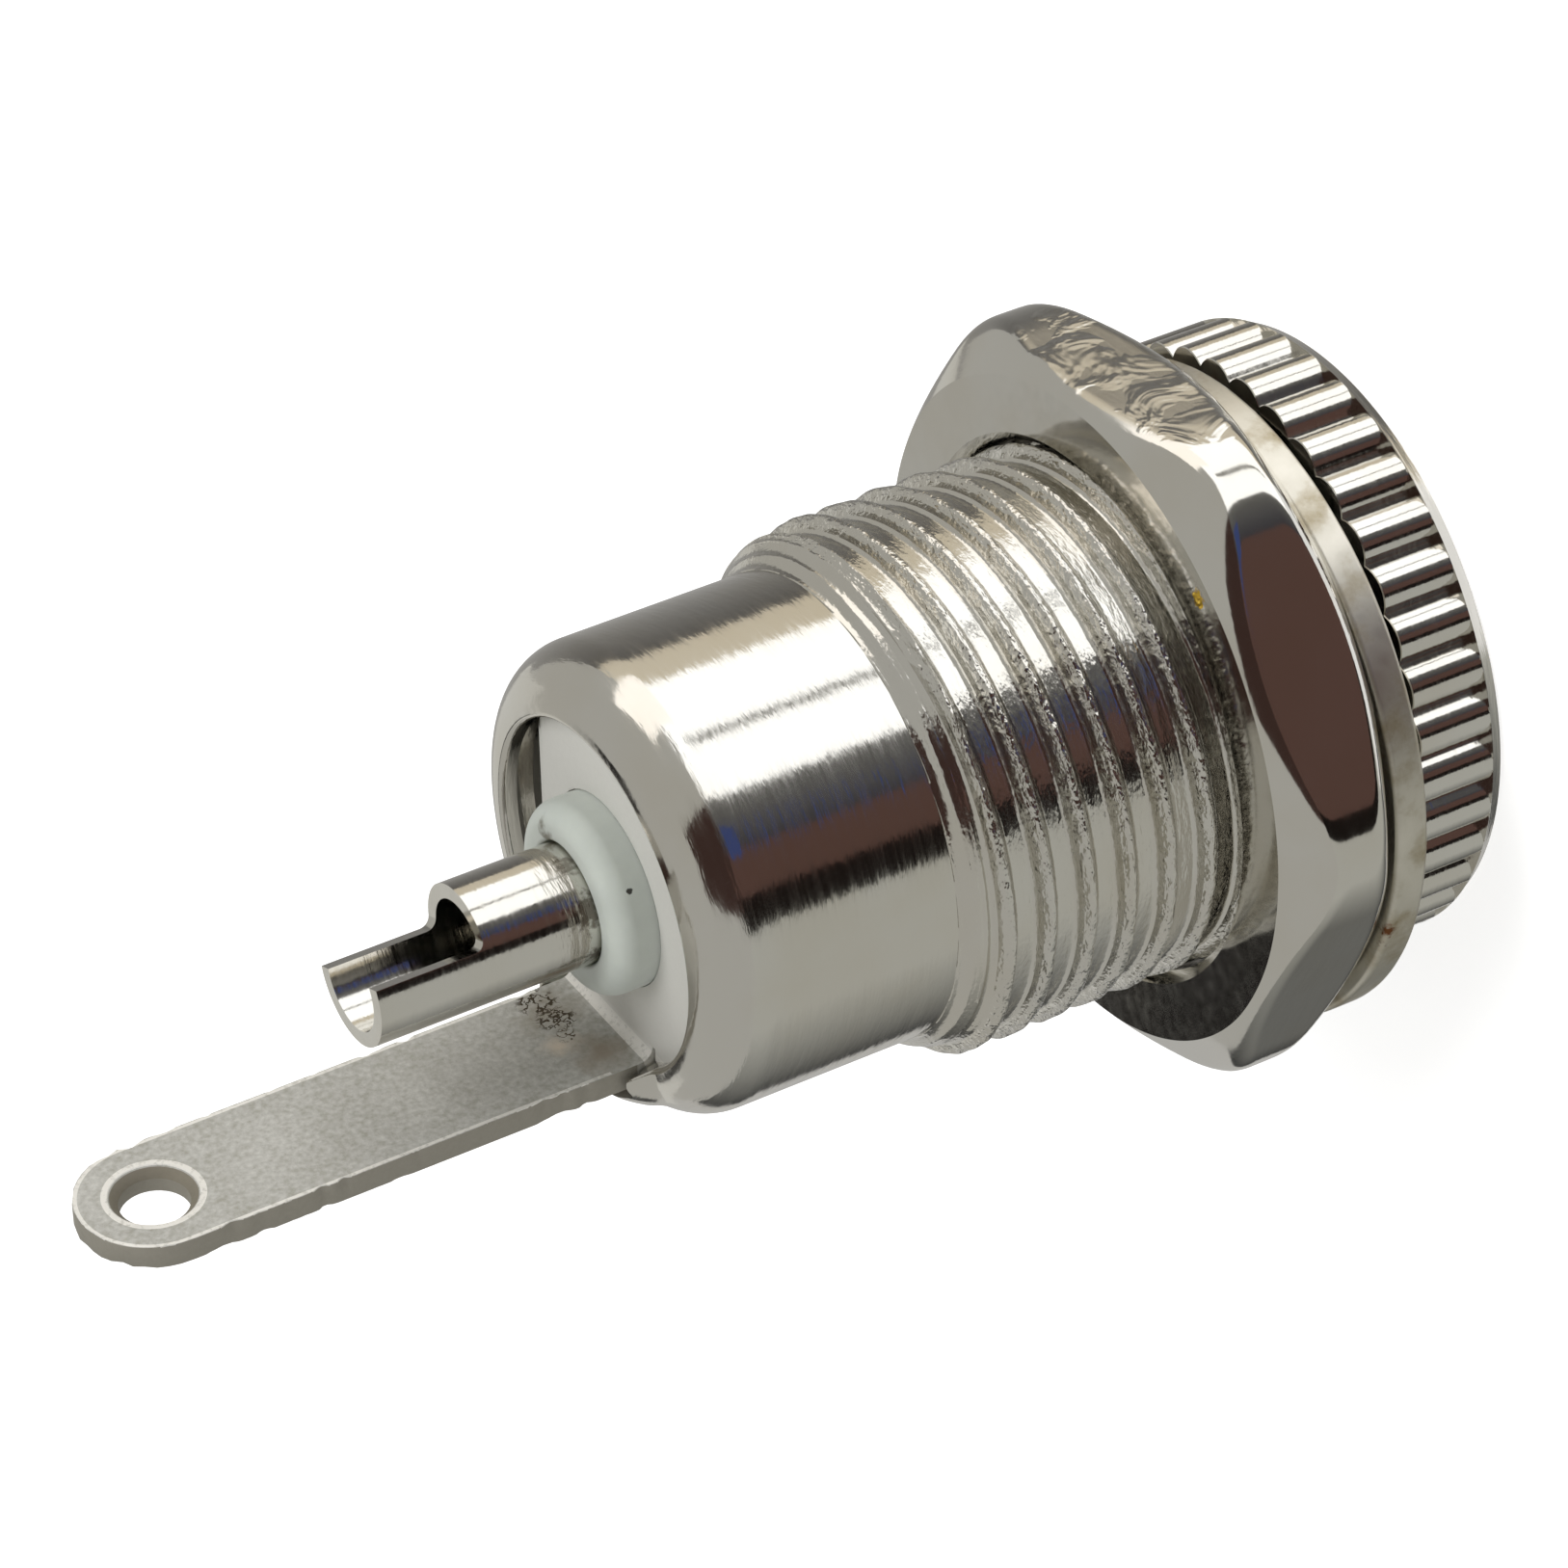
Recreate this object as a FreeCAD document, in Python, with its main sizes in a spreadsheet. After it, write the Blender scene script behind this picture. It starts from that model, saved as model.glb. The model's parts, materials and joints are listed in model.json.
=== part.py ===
import FreeCAD, Part
import Sketcher
import math
import os

# Panel-mount dc power jack. The axis of the jack is Z, with z = 0 on the front face
# of the head and the solder terminals towards +Z. The ground lug lies on the +X side.

os.makedirs("parts", exist_ok=True)
doc = FreeCAD.newDocument("dc_power_jack")
sheet = doc.addObject("Spreadsheet::Sheet", "Sizes")

SIZES = {
    # shell, outside
    "head_radius": 6.45,
    "head_height": 1.95,
    "bevel_width": 0.30,
    "bevel_height": 0.30,
    "lobe_count": 38,
    "lobe_radius": 0.57,
    "lobe_depth": 0.27,
    "relief_radius": 4.85,
    "relief_height": 0.60,
    "thread_radius": 5.50,
    "thread_pitch": 0.92,
    "thread_depth_share": 0.37,
    "thread_crest_share": 0.125,
    "thread_end": 11.60,
    "thread_lead": 0.70,
    "groove_setback": 0.534,
    "groove_overrun": 0.05,
    "groove_run_out": 0.60,
    "barrel_drop": 0.67,
    "rim_round": 1.20,
    "rim_flat": 0.08,
    "rim_lip": 0.35,
    "lip_round": 0.12,
    # shell, inside
    "seat_height": 16.00,
    "seat_wall": 0.73,
    "seat_ledge": 0.30,
    "leaf_room": 0.95,
    "mouth_depth": 1.00,
    "mouth_chamfer": 0.25,
    "lug_slot_fit": 0.10,
    # hex nut
    "nut_flats_half": 7.20,
    "nut_corner_cut": 0.394,
    "nut_face_inset": 0.23,
    "nut_chamfer_drop": 0.665,
    "nut_gap": 0.03,
    "nut_thickness": 2.55,
    "nut_turn": 34.90,
    "nut_bore_clearance": 0.05,
    "nut_countersink": 0.22,
    "turning_margin": 1.00,
    # spring washer
    "washer_play": 0.65,
    "washer_width": 0.68,
    "washer_thickness": 0.75,
    "washer_rise": 0.42,
    "washer_turns": 0.97,
    "washer_gap": 0.02,
    "washer_shift_x": 0.48,
    "washer_shift_y": 0.31,
    # nylon bush
    "boss_room": 1.80,
    "boss_height": 1.40,
    "boss_round_share": 0.608,
    "bush_flange_width": 0.30,
    "bush_flange_depth": 2.80,
    "bush_fit": 0.02,
    # centre contact
    "pin_radius": 1.05,
    "pin_tip": 1.20,
    "pin_tip_round": 0.40,
    "stem_step": 0.19,
    "stem_proud": 0.20,
    "cup_wall": 0.31,
    "cup_floor_rise": 0.40,
    "cup_tube": 2.35,
    "cup_length": 2.35,
    "cup_cut_height": 0.15,
    "cup_step_round": 0.22,
    "cup_turn": 202.0,
    # ground contact, one stamped strip
    "sheet_thickness": 0.50,
    "plate_fit": 0.05,
    "plate_hole_fit": 0.02,
    "chord_margin": 0.47,
    "lug_setback": 0.45,
    "lug_half_width": 1.55,
    "lug_relief": 0.10,
    "lug_inner_bend": 0.30,
    "lug_reach": 10.00,
    "lug_hole_radius": 0.69,
    "lug_hole_chamfer": 0.20,
    "leaf_root_fit": 0.07,
    "leaf_root_drop": 1.10,
    "leaf_outer_bend": 0.60,
    "leaf_shoulder": 0.85,
    "leaf_slope": 1.70,
    "leaf_run_bottom": 7.00,
    "leaf_preload": 0.30,
    "leaf_bump_top": 5.60,
    "leaf_bump_bottom": 5.00,
    "leaf_lead": 0.10,
    "leaf_tip": 3.60,
    "leaf_overlap": 0.30,
}

for row, (name, value) in enumerate(SIZES.items(), start=1):
    sheet.set("A%d" % row, name)
    sheet.set("B%d" % row, str(value))
    sheet.setAlias("B%d" % row, name)
doc.recompute()


def length(*terms):
    """Returns the expression and the value of a sum of named sizes and other such pairs.

    A leading minus subtracts a named size, and minus() gives a pair to subtract.
    """
    expression = "0"
    value = 0.0
    for term in terms:
        if isinstance(term, tuple):
            expression += " + (%s)" % term[0]
            value += term[1]
        elif term.startswith("-"):
            expression += " - Sizes.%s" % term[1:]
            value -= SIZES[term[1:]]
        else:
            expression += " + Sizes.%s" % term
            value += SIZES[term]
    return expression, value


ZERO = length()


def minus(pair):
    """Returns the negative of a length."""
    return "-(%s)" % pair[0], -pair[1]


def new_body(label):
    """Starts a body whose label is the node's name."""
    body = doc.addObject("PartDesign::Body", label)
    body.Label = label
    return body


def plane_of(body, role):
    """Returns one of the body's own origin planes or axes."""
    return [item for item in body.Origin.OriginFeatures if item.Role == role][0]


def new_sketch(body, name, role):
    """Attaches an empty sketch to one of the body's origin planes."""
    sketch = body.newObject("Sketcher::SketchObject", name)
    sketch.AttachmentSupport = [(plane_of(body, role), "")]
    sketch.MapMode = "FlatFace"
    return sketch


def pin_point(sketch, index, corner, x, y):
    """Holds one point of the sketch at the lengths x and y from its origin."""
    for kind, pair in (("DistanceX", x), ("DistanceY", y)):
        number = sketch.addConstraint(Sketcher.Constraint(kind, -1, 1, index, corner, pair[1]))
        sketch.setExpression("Constraints[%d]" % number, pair[0])


def outline(body, name, role, points):
    """Draws a closed outline through points, each given as two lengths."""
    sketch = new_sketch(body, name, role)
    count = len(points)
    for index in range(count):
        first = points[index]
        second = points[(index + 1) % count]
        start = FreeCAD.Vector(first[0][1], first[1][1], 0)
        finish = FreeCAD.Vector(second[0][1], second[1][1], 0)
        sketch.addGeometry(Part.LineSegment(start, finish), False)
    for index in range(count):
        sketch.addConstraint(Sketcher.Constraint("Coincident", index, 2, (index + 1) % count, 1))
    for index, point in enumerate(points):
        pin_point(sketch, index, 1, point[0], point[1])
    return sketch


def disc(body, name, role, x, y, radius):
    """Draws a circle at the lengths x and y."""
    sketch = new_sketch(body, name, role)
    centre = FreeCAD.Vector(x[1], y[1], 0)
    sketch.addGeometry(Part.Circle(centre, FreeCAD.Vector(0, 0, 1), radius[1]), False)
    pin_point(sketch, 0, 3, x, y)
    number = sketch.addConstraint(Sketcher.Constraint("Radius", 0, radius[1]))
    sketch.setExpression("Constraints[%d]" % number, radius[0])
    return sketch


def lift(sketch, height):
    """Moves a sketch along its normal."""
    sketch.setExpression(".AttachmentOffset.Base.z", height[0])
    return sketch


def revolve(body, name, sketch, kind="PartDesign::Revolution"):
    """Turns a sketch through a whole turn about its vertical axis."""
    feature = body.newObject(kind, name)
    feature.Profile = sketch
    feature.ReferenceAxis = (sketch, ["V_Axis"])
    feature.Angle = 360
    sketch.Visibility = False
    doc.recompute()
    return feature


def extrude(body, name, sketch, distance, kind="PartDesign::Pad", midplane=False, reverse=False):
    """Pads or pockets a sketch by a length."""
    feature = body.newObject(kind, name)
    feature.Profile = sketch
    feature.Midplane = midplane
    feature.Reversed = reverse
    feature.setExpression("Length", distance[0])
    sketch.Visibility = False
    doc.recompute()
    return feature


def edges_where(feature, test):
    """Names the edges of a feature's shape that pass a test."""
    return ["Edge%d" % (number + 1) for number, edge in enumerate(feature.Shape.Edges) if test(edge)]


def dress(body, name, kind, feature, names, size):
    """Rounds or bevels the named edges of the feature by a length."""
    dressed = body.newObject(kind, name)
    dressed.Base = (feature, names)
    dressed.setExpression("Radius" if kind.endswith("Fillet") else "Size", size[0])
    doc.recompute()
    return dressed


def is_ring(edge, radius, height):
    """True for a circle about the jack's axis of this radius and height."""
    if not isinstance(edge.Curve, Part.Circle):
        return False
    same_radius = abs(edge.Curve.Radius - radius) < 1e-4
    same_height = abs(edge.Curve.Center.z - height) < 1e-4
    on_axis = abs(edge.Curve.Center.x) < 1e-4 and abs(edge.Curve.Center.y) < 1e-4
    return same_radius and same_height and on_axis


def passes(edge, **wanted):
    """True when every point of the edge has the wanted coordinates."""
    box = edge.BoundBox
    for axis, value in wanted.items():
        low = getattr(box, axis + "Min")
        high = getattr(box, axis + "Max")
        if abs(low - value) > 1e-3 or abs(high - value) > 1e-3:
            return False
    return True


# Radii of the shell, from the thread inwards, and of what sits in it
BARREL = length("thread_radius", "-barrel_drop")
SEAT = length(BARREL, "-seat_wall")
CAVITY = length(SEAT, "-seat_ledge")
MOUTH = length(CAVITY, "-leaf_room")
RIM_MOUTH = length(BARREL, "-rim_round", "-rim_flat")
HEAD_FACE = length("head_radius", "-bevel_width")
HEAD_ROOT = length("head_radius", "-lobe_depth")
BOSS = length(CAVITY, "-boss_room")
STEM = length("pin_radius", "stem_step")
LUG_INNER = length(SEAT, "-sheet_thickness", "-lug_setback")
LUG_OUTER = length(LUG_INNER, "sheet_thickness")

# Heights along the jack
RELIEF_TOP = length("head_height", "relief_height")
SEAT_TOP = length("seat_height", "sheet_thickness")
REAR = length(SEAT_TOP, "rim_lip")
FLANGE_BOTTOM = length("seat_height", "-bush_flange_depth")
BOSS_END = length("seat_height", "boss_height")
CUP_STEP = length(BOSS_END, "cup_tube")
EYE = length(SEAT_TOP, "lug_reach")
LEAF_ROOT = length("seat_height", "-leaf_root_drop")

# The thread's depth, and the half widths of its groove at the crest and at the root
CREST = length("thread_radius")
DEPTH = ("Sizes.thread_pitch * Sizes.thread_depth_share", SIZES["thread_pitch"] * SIZES["thread_depth_share"])
GROOVE_MOUTH = ("Sizes.thread_pitch * (1 - Sizes.thread_crest_share) / 2",
                SIZES["thread_pitch"] * (1 - SIZES["thread_crest_share"]) / 2)
FLANK = math.tan(math.radians(30))
GROOVE_ROOT = ("(%s) - (%s) * tan(30 deg)" % (GROOVE_MOUTH[0], DEPTH[0]), GROOVE_MOUTH[1] - DEPTH[1] * FLANK)
GROOVE_WIDE = ("(%s) + Sizes.groove_overrun * tan(30 deg)" % GROOVE_MOUTH[0],
               GROOVE_MOUTH[1] + SIZES["groove_overrun"] * FLANK)
GROOVE_FLOOR = length(CREST, minus(DEPTH))
GROOVE_TOP = length(CREST, "groove_overrun")
GROOVE_START = length("head_height", "groove_setback")

# Shell: the turned brass body with its lobed head, barrel thread and rolled rear rim
shell = new_body("shell")
section = outline(shell, "shell_section", "XZ_Plane", [
    (MOUTH, ZERO),
    (HEAD_FACE, ZERO),
    (length("head_radius"), length("bevel_height")),
    (HEAD_ROOT, length("bevel_height")),
    (HEAD_ROOT, length("head_height")),
    (length("relief_radius"), length("head_height")),
    (length("relief_radius"), RELIEF_TOP),
    (CREST, RELIEF_TOP),
    (CREST, length("thread_end", "-thread_lead")),
    (BARREL, length("thread_end")),
    (BARREL, REAR),
    (RIM_MOUTH, REAR),
    (RIM_MOUTH, SEAT_TOP),
    (SEAT, SEAT_TOP),
    (SEAT, length("seat_height")),
    (CAVITY, length("seat_height")),
    (CAVITY, length("mouth_depth")),
    (MOUTH, length("mouth_depth")),
])
turned = revolve(shell, "shell_turning", section)
rim_edges = edges_where(turned, lambda edge: is_ring(edge, BARREL[1], REAR[1]))
rolled = dress(shell, "rim_rolling", "PartDesign::Fillet", turned, rim_edges, length("rim_round"))
lip_edges = edges_where(rolled, lambda edge: is_ring(edge, RIM_MOUTH[1], REAR[1]))
lipped = dress(shell, "lip_rounding", "PartDesign::Fillet", rolled, lip_edges, length("lip_round"))
mouth_edges = edges_where(lipped, lambda edge: is_ring(edge, MOUTH[1], 0))
mouthed = dress(shell, "mouth_bevel", "PartDesign::Chamfer", lipped, mouth_edges, length("mouth_chamfer"))

# The head's grip: round-backed lobes with sharp valleys between them
lobe = lift(disc(shell, "lobe_circle", "XY_Plane", length("head_radius", "-lobe_radius"), ZERO,
                 length("lobe_radius")), length("bevel_height"))
lobe_pad = extrude(shell, "lobe_pad", lobe, length("head_height", "-bevel_height"))
lobes = shell.newObject("PartDesign::PolarPattern", "lobes")
lobes.Originals = [lobe_pad]
lobes.Axis = (plane_of(shell, "Z_Axis"), [""])
lobes.Angle = 360
lobes.setExpression("Occurrences", "Sizes.lobe_count")
shell.Tip = lobes
doc.recompute()

# The thread groove runs from the relief behind the head out over the end of the thread
groove = outline(shell, "thread_groove", "YZ_Plane", [
    (minus(GROOVE_FLOOR), length(GROOVE_START, minus(GROOVE_ROOT))),
    (minus(GROOVE_TOP), length(GROOVE_START, minus(GROOVE_WIDE))),
    (minus(GROOVE_TOP), length(GROOVE_START, GROOVE_WIDE)),
    (minus(GROOVE_FLOOR), length(GROOVE_START, GROOVE_ROOT)),
])
thread = shell.newObject("PartDesign::SubtractiveHelix", "thread")
thread.Profile = groove
thread.ReferenceAxis = (groove, ["V_Axis"])
thread.Mode = "pitch-height-angle"
thread.setExpression("Pitch", "Sizes.thread_pitch")
thread.setExpression("Height", length("thread_end", "groove_run_out", minus(GROOVE_START))[0])
groove.Visibility = False
doc.recompute()

# Where the ground lug leaves, the lip stands open
slot_half = length("lug_half_width", "lug_slot_fit")
slot_reach = length(LUG_OUTER, "lug_slot_fit")
slot = lift(outline(shell, "lug_slot_outline", "XY_Plane", [
    (ZERO, minus(slot_half)),
    (slot_reach, minus(slot_half)),
    (slot_reach, slot_half),
    (ZERO, slot_half),
]), REAR)
extrude(shell, "lug_slot", slot, length("rim_lip"), "PartDesign::Pocket")

WASHER_BOTTOM = length("head_height", "washer_gap")
NUT_BOTTOM = length(WASHER_BOTTOM, "washer_rise", "washer_thickness", "nut_gap")

# Hex nut: hexagonal bar with both faces turned to a bevel that meets the corners
nut = new_body("hex_nut")
hexagon = new_sketch(nut, "nut_hexagon", "XY_Plane")
corner_radius = SIZES["nut_flats_half"] / math.cos(math.pi / 6)
corners = [FreeCAD.Vector(corner_radius * math.cos(math.pi / 3 * side),
                          corner_radius * math.sin(math.pi / 3 * side), 0) for side in range(6)]
for side in range(6):
    hexagon.addGeometry(Part.LineSegment(corners[side], corners[(side + 1) % 6]), False)
for side in range(6):
    hexagon.addConstraint(Sketcher.Constraint("Coincident", side, 2, (side + 1) % 6, 1))
through_corners = hexagon.addGeometry(Part.Circle(FreeCAD.Vector(), FreeCAD.Vector(0, 0, 1), corner_radius), True)
hexagon.addConstraint(Sketcher.Constraint("Coincident", through_corners, 3, -1, 1))
for side in range(6):
    hexagon.addConstraint(Sketcher.Constraint("PointOnObject", side, 1, through_corners))
for side in range(1, 6):
    hexagon.addConstraint(Sketcher.Constraint("Equal", 0, side))
hexagon.addConstraint(Sketcher.Constraint("PointOnObject", 0, 1, -1))
number = hexagon.addConstraint(Sketcher.Constraint("Radius", through_corners, corner_radius))
hexagon.setExpression("Constraints[%d]" % number, "Sizes.nut_flats_half / cos(30 deg)")
extrude(nut, "nut_bar", hexagon, length("nut_thickness"))
nut_corner = ("Sizes.nut_flats_half / cos(30 deg) - Sizes.nut_corner_cut", corner_radius - SIZES["nut_corner_cut"])
nut_face = length("nut_flats_half", "-nut_face_inset")
waste = outline(nut, "nut_waste", "XZ_Plane", [
    (nut_face, ZERO),
    (length(nut_corner, "turning_margin"), ZERO),
    (length(nut_corner, "turning_margin"), length("nut_thickness")),
    (nut_face, length("nut_thickness")),
    (nut_corner, length("nut_thickness", "-nut_chamfer_drop")),
    (nut_corner, length("nut_chamfer_drop")),
])
revolve(nut, "nut_turning", waste, "PartDesign::Groove")
bore = disc(nut, "nut_bore_circle", "XY_Plane", ZERO, ZERO, length("thread_radius", "nut_bore_clearance"))
bored = extrude(nut, "nut_bore", bore, length("nut_thickness"), "PartDesign::Pocket", reverse=True)
bore_radius = SIZES["thread_radius"] + SIZES["nut_bore_clearance"]
bore_edges = edges_where(bored, lambda edge: is_ring(edge, bore_radius, edge.BoundBox.ZMin))
dress(nut, "nut_countersinks", "PartDesign::Chamfer", bored, bore_edges, length("nut_countersink"))
nut.setExpression(".Placement.Base.z", NUT_BOTTOM[0])
nut.setExpression(".Placement.Rotation.Angle", "Sizes.nut_turn")

# Spring washer: one turn of square wire, split and sprung, hanging off centre on the barrel
washer = new_body("spring_washer")
washer_inner = length(CREST, "washer_play")
washer_outer = length(washer_inner, "washer_width")
wire = outline(washer, "washer_section", "XZ_Plane", [
    (washer_inner, ZERO),
    (washer_outer, ZERO),
    (washer_outer, length("washer_thickness")),
    (washer_inner, length("washer_thickness")),
])
coil = washer.newObject("PartDesign::AdditiveHelix", "washer_coil")
coil.Profile = wire
coil.ReferenceAxis = (wire, ["V_Axis"])
coil.Mode = "height-turns-angle"
coil.LeftHanded = True
coil.setExpression("Height", "Sizes.washer_rise")
coil.setExpression("Turns", "Sizes.washer_turns")
wire.Visibility = False
washer.setExpression(".Placement.Base.x", "Sizes.washer_shift_x")
washer.setExpression(".Placement.Base.y", "Sizes.washer_shift_y")
washer.setExpression(".Placement.Base.z", WASHER_BOTTOM[0])
doc.recompute()

# Nylon bush: a flange inside the plate and a round-edged boss outside it
bush = new_body("insulator_bush")
bush_bore = length(STEM, "bush_fit")
flange = length(BOSS, "bush_flange_width")
bush_section = outline(bush, "bush_section", "XZ_Plane", [
    (bush_bore, FLANGE_BOTTOM),
    (flange, FLANGE_BOTTOM),
    (flange, length("seat_height")),
    (BOSS, length("seat_height")),
    (BOSS, BOSS_END),
    (bush_bore, BOSS_END),
])
bush_turned = revolve(bush, "bush_turning", bush_section)
boss_edges = edges_where(bush_turned, lambda edge: is_ring(edge, BOSS[1], BOSS_END[1]))
boss_wall = length(BOSS, minus(bush_bore))
boss_round = ("(%s) * Sizes.boss_round_share" % boss_wall[0], boss_wall[1] * SIZES["boss_round_share"])
dress(bush, "boss_rounding", "PartDesign::Fillet", bush_turned, boss_edges, boss_round)

# Centre contact: the pin of the socket, and behind the bush a tube cut down to a solder cup
contact = new_body("centre_contact")
stem_bottom = length(FLANGE_BOTTOM, "-stem_proud")
cup_bore = length(STEM, "-cup_wall")
cup_floor = length(BOSS_END, "cup_floor_rise")
cup_end = length(CUP_STEP, "cup_length")
contact_section = outline(contact, "contact_section", "XZ_Plane", [
    (ZERO, length("pin_tip")),
    (length("pin_radius"), length("pin_tip")),
    (length("pin_radius"), stem_bottom),
    (STEM, stem_bottom),
    (STEM, cup_end),
    (cup_bore, cup_end),
    (cup_bore, cup_floor),
    (ZERO, cup_floor),
])
contact_turned = revolve(contact, "contact_turning", contact_section)
tip_edges = edges_where(contact_turned, lambda edge: is_ring(edge, SIZES["pin_radius"], SIZES["pin_tip"]))
tipped = dress(contact, "pin_tip_rounding", "PartDesign::Fillet", contact_turned, tip_edges,
               length("pin_tip_round"))
cup_side = length(STEM, "turning_margin")
cup_cut = outline(contact, "cup_cut_outline", "XZ_Plane", [
    (length("cup_cut_height"), CUP_STEP),
    (cup_side, CUP_STEP),
    (cup_side, length(cup_end, "turning_margin")),
    (length("cup_cut_height"), length(cup_end, "turning_margin")),
])
cupped = extrude(contact, "cup_cut", cup_cut, length(STEM, STEM, "turning_margin"), "PartDesign::Pocket",
                 midplane=True)
step_edges = edges_where(cupped, lambda edge: passes(edge, X=SIZES["cup_cut_height"], Z=CUP_STEP[1]))
dress(contact, "cup_step_rounding", "PartDesign::Fillet", cupped, step_edges, length("cup_step_round"))
contact.setExpression(".Placement.Rotation.Angle", "Sizes.cup_turn")

# Ground contact: one stamping, with a seat plate, the solder lug bent rearward and the
# leaf that presses on the plug's barrel bent forward
ground = new_body("ground_contact")
plate_radius = length(SEAT, "-plate_fit")
plate_chord = length(BOSS, "chord_margin")
plate = lift(disc(ground, "plate_circle", "XY_Plane", ZERO, ZERO, plate_radius), length("seat_height"))
extrude(ground, "plate", plate, length("sheet_thickness"))
hole = lift(disc(ground, "plate_hole_circle", "XY_Plane", ZERO, ZERO, length(BOSS, "plate_hole_fit")),
            length("seat_height"))
extrude(ground, "plate_hole", hole, length("sheet_thickness"), "PartDesign::Pocket", reverse=True)
beyond = length(plate_radius, "turning_margin")
chord = lift(outline(ground, "plate_chord_outline", "XY_Plane", [
    (minus(beyond), minus(beyond)),
    (beyond, minus(beyond)),
    (beyond, minus(plate_chord)),
    (minus(beyond), minus(plate_chord)),
]), length("seat_height"))
extrude(ground, "plate_chord_cut", chord, length("sheet_thickness"), "PartDesign::Pocket", reverse=True)
bend_start = length(LUG_INNER, "-lug_inner_bend")
relief_half = length("lug_half_width", "lug_relief")
tab = lift(outline(ground, "lug_relief_outline", "XY_Plane", [
    (bend_start, minus(relief_half)),
    (beyond, minus(relief_half)),
    (beyond, relief_half),
    (bend_start, relief_half),
]), length("seat_height"))
extrude(ground, "lug_relief_cut", tab, length("sheet_thickness"), "PartDesign::Pocket", reverse=True)

strip = outline(ground, "lug_strip", "XZ_Plane", [
    (bend_start, length("seat_height")),
    (LUG_OUTER, length("seat_height")),
    (LUG_OUTER, EYE),
    (LUG_INNER, EYE),
    (LUG_INNER, SEAT_TOP),
    (bend_start, SEAT_TOP),
])
lug = extrude(ground, "lug", strip, length("lug_half_width", "lug_half_width"), midplane=True)
eye = lift(disc(ground, "lug_eye_circle", "YZ_Plane", ZERO, EYE, length("lug_half_width")), LUG_INNER)
extrude(ground, "lug_eye", eye, length("sheet_thickness"))
wire_hole = lift(disc(ground, "lug_hole_circle", "YZ_Plane", ZERO, EYE, length("lug_hole_radius")), LUG_INNER)
holed = extrude(ground, "lug_hole", wire_hole, length("sheet_thickness"), "PartDesign::Pocket", reverse=True)

chord_outer = length(plate_chord, "sheet_thickness")
root_inside = length(plate_chord, minus(length("leaf_overlap")))
leaf_root = outline(ground, "leaf_root_section", "YZ_Plane", [
    (minus(root_inside), length("seat_height")),
    (minus(plate_chord), length("seat_height")),
    (minus(plate_chord), LEAF_ROOT),
    (minus(chord_outer), LEAF_ROOT),
    (minus(chord_outer), SEAT_TOP),
    (minus(root_inside), SEAT_TOP),
])
inside = length(CAVITY, "-leaf_root_fit")
root_half = ("sqrt((%s)^2 - (%s)^2)" % (inside[0], chord_outer[0]), math.sqrt(inside[1] ** 2 - chord_outer[1] ** 2))
leaf_half = length(root_half, "-leaf_shoulder")
extrude(ground, "leaf_root", leaf_root, length(root_half, root_half), midplane=True)

# The leaf's inner face, from its root down to the tip: it touches the plug at the bump
bump_face = length(MOUTH, "-leaf_preload")
leaf_line = [
    (plate_chord, length(LEAF_ROOT, "leaf_overlap")),
    (plate_chord, LEAF_ROOT),
    (MOUTH, length(LEAF_ROOT, "-leaf_slope")),
    (MOUTH, length("leaf_run_bottom")),
    (bump_face, length("leaf_bump_top")),
    (bump_face, length("leaf_bump_bottom")),
    (length(MOUTH, "leaf_lead"), length("leaf_tip")),
]
inner_side = [(minus(face), height) for face, height in leaf_line]
outer_side = [(minus(length(face, "sheet_thickness")), height) for face, height in reversed(leaf_line)]
leaf = outline(ground, "leaf_section", "YZ_Plane", inner_side + outer_side)
leafed = extrude(ground, "leaf", leaf, length(leaf_half, leaf_half), midplane=True)

bend_edges = edges_where(leafed, lambda edge: passes(edge, X=LUG_OUTER[1], Z=SIZES["seat_height"]))
bent = dress(ground, "lug_outer_bend", "PartDesign::Fillet", leafed, bend_edges,
             length("lug_inner_bend", "sheet_thickness"))
corner_edges = edges_where(bent, lambda edge: passes(edge, X=LUG_INNER[1], Z=SEAT_TOP[1]))
cornered = dress(ground, "lug_inner_bend_round", "PartDesign::Fillet", bent, corner_edges, length("lug_inner_bend"))
root_edges = edges_where(cornered, lambda edge: passes(edge, Y=-chord_outer[1], Z=SEAT_TOP[1]))
rooted = dress(ground, "leaf_bend", "PartDesign::Fillet", cornered, root_edges, length("leaf_outer_bend"))
hole_edges = edges_where(rooted, lambda edge: isinstance(edge.Curve, Part.Circle)
                         and abs(edge.Curve.Radius - SIZES["lug_hole_radius"]) < 1e-4
                         and abs(edge.Curve.Center.x - LUG_INNER[1]) < 1e-4)
dress(ground, "lug_hole_bevel", "PartDesign::Chamfer", rooted, hole_edges, length("lug_hole_chamfer"))

doc.recompute()
for item in doc.Objects:
    if "Invalid" in item.State or "Error" in item.State:
        raise RuntimeError("%s did not recompute" % item.Label)
for body in (shell, nut, washer, bush, contact, ground):
    if body.Shape.isNull() or not body.Shape.isValid() or len(body.Shape.Solids) != 1:
        raise RuntimeError("%s is not one valid solid" % body.Label)
    body.Shape.exportStep("parts/%s.step" % body.Label)
    print(body.Label, round(body.Shape.Volume, 2))
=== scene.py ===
"""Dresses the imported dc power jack: shell, hex nut, spring washer, nylon bush and two contacts."""

import json
import logging
import math
from dataclasses import dataclass, replace
from enum import Enum
from functools import cached_property
from typing import Any, Callable, Sequence

import bpy
from mathutils import Matrix, Vector, noise

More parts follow.
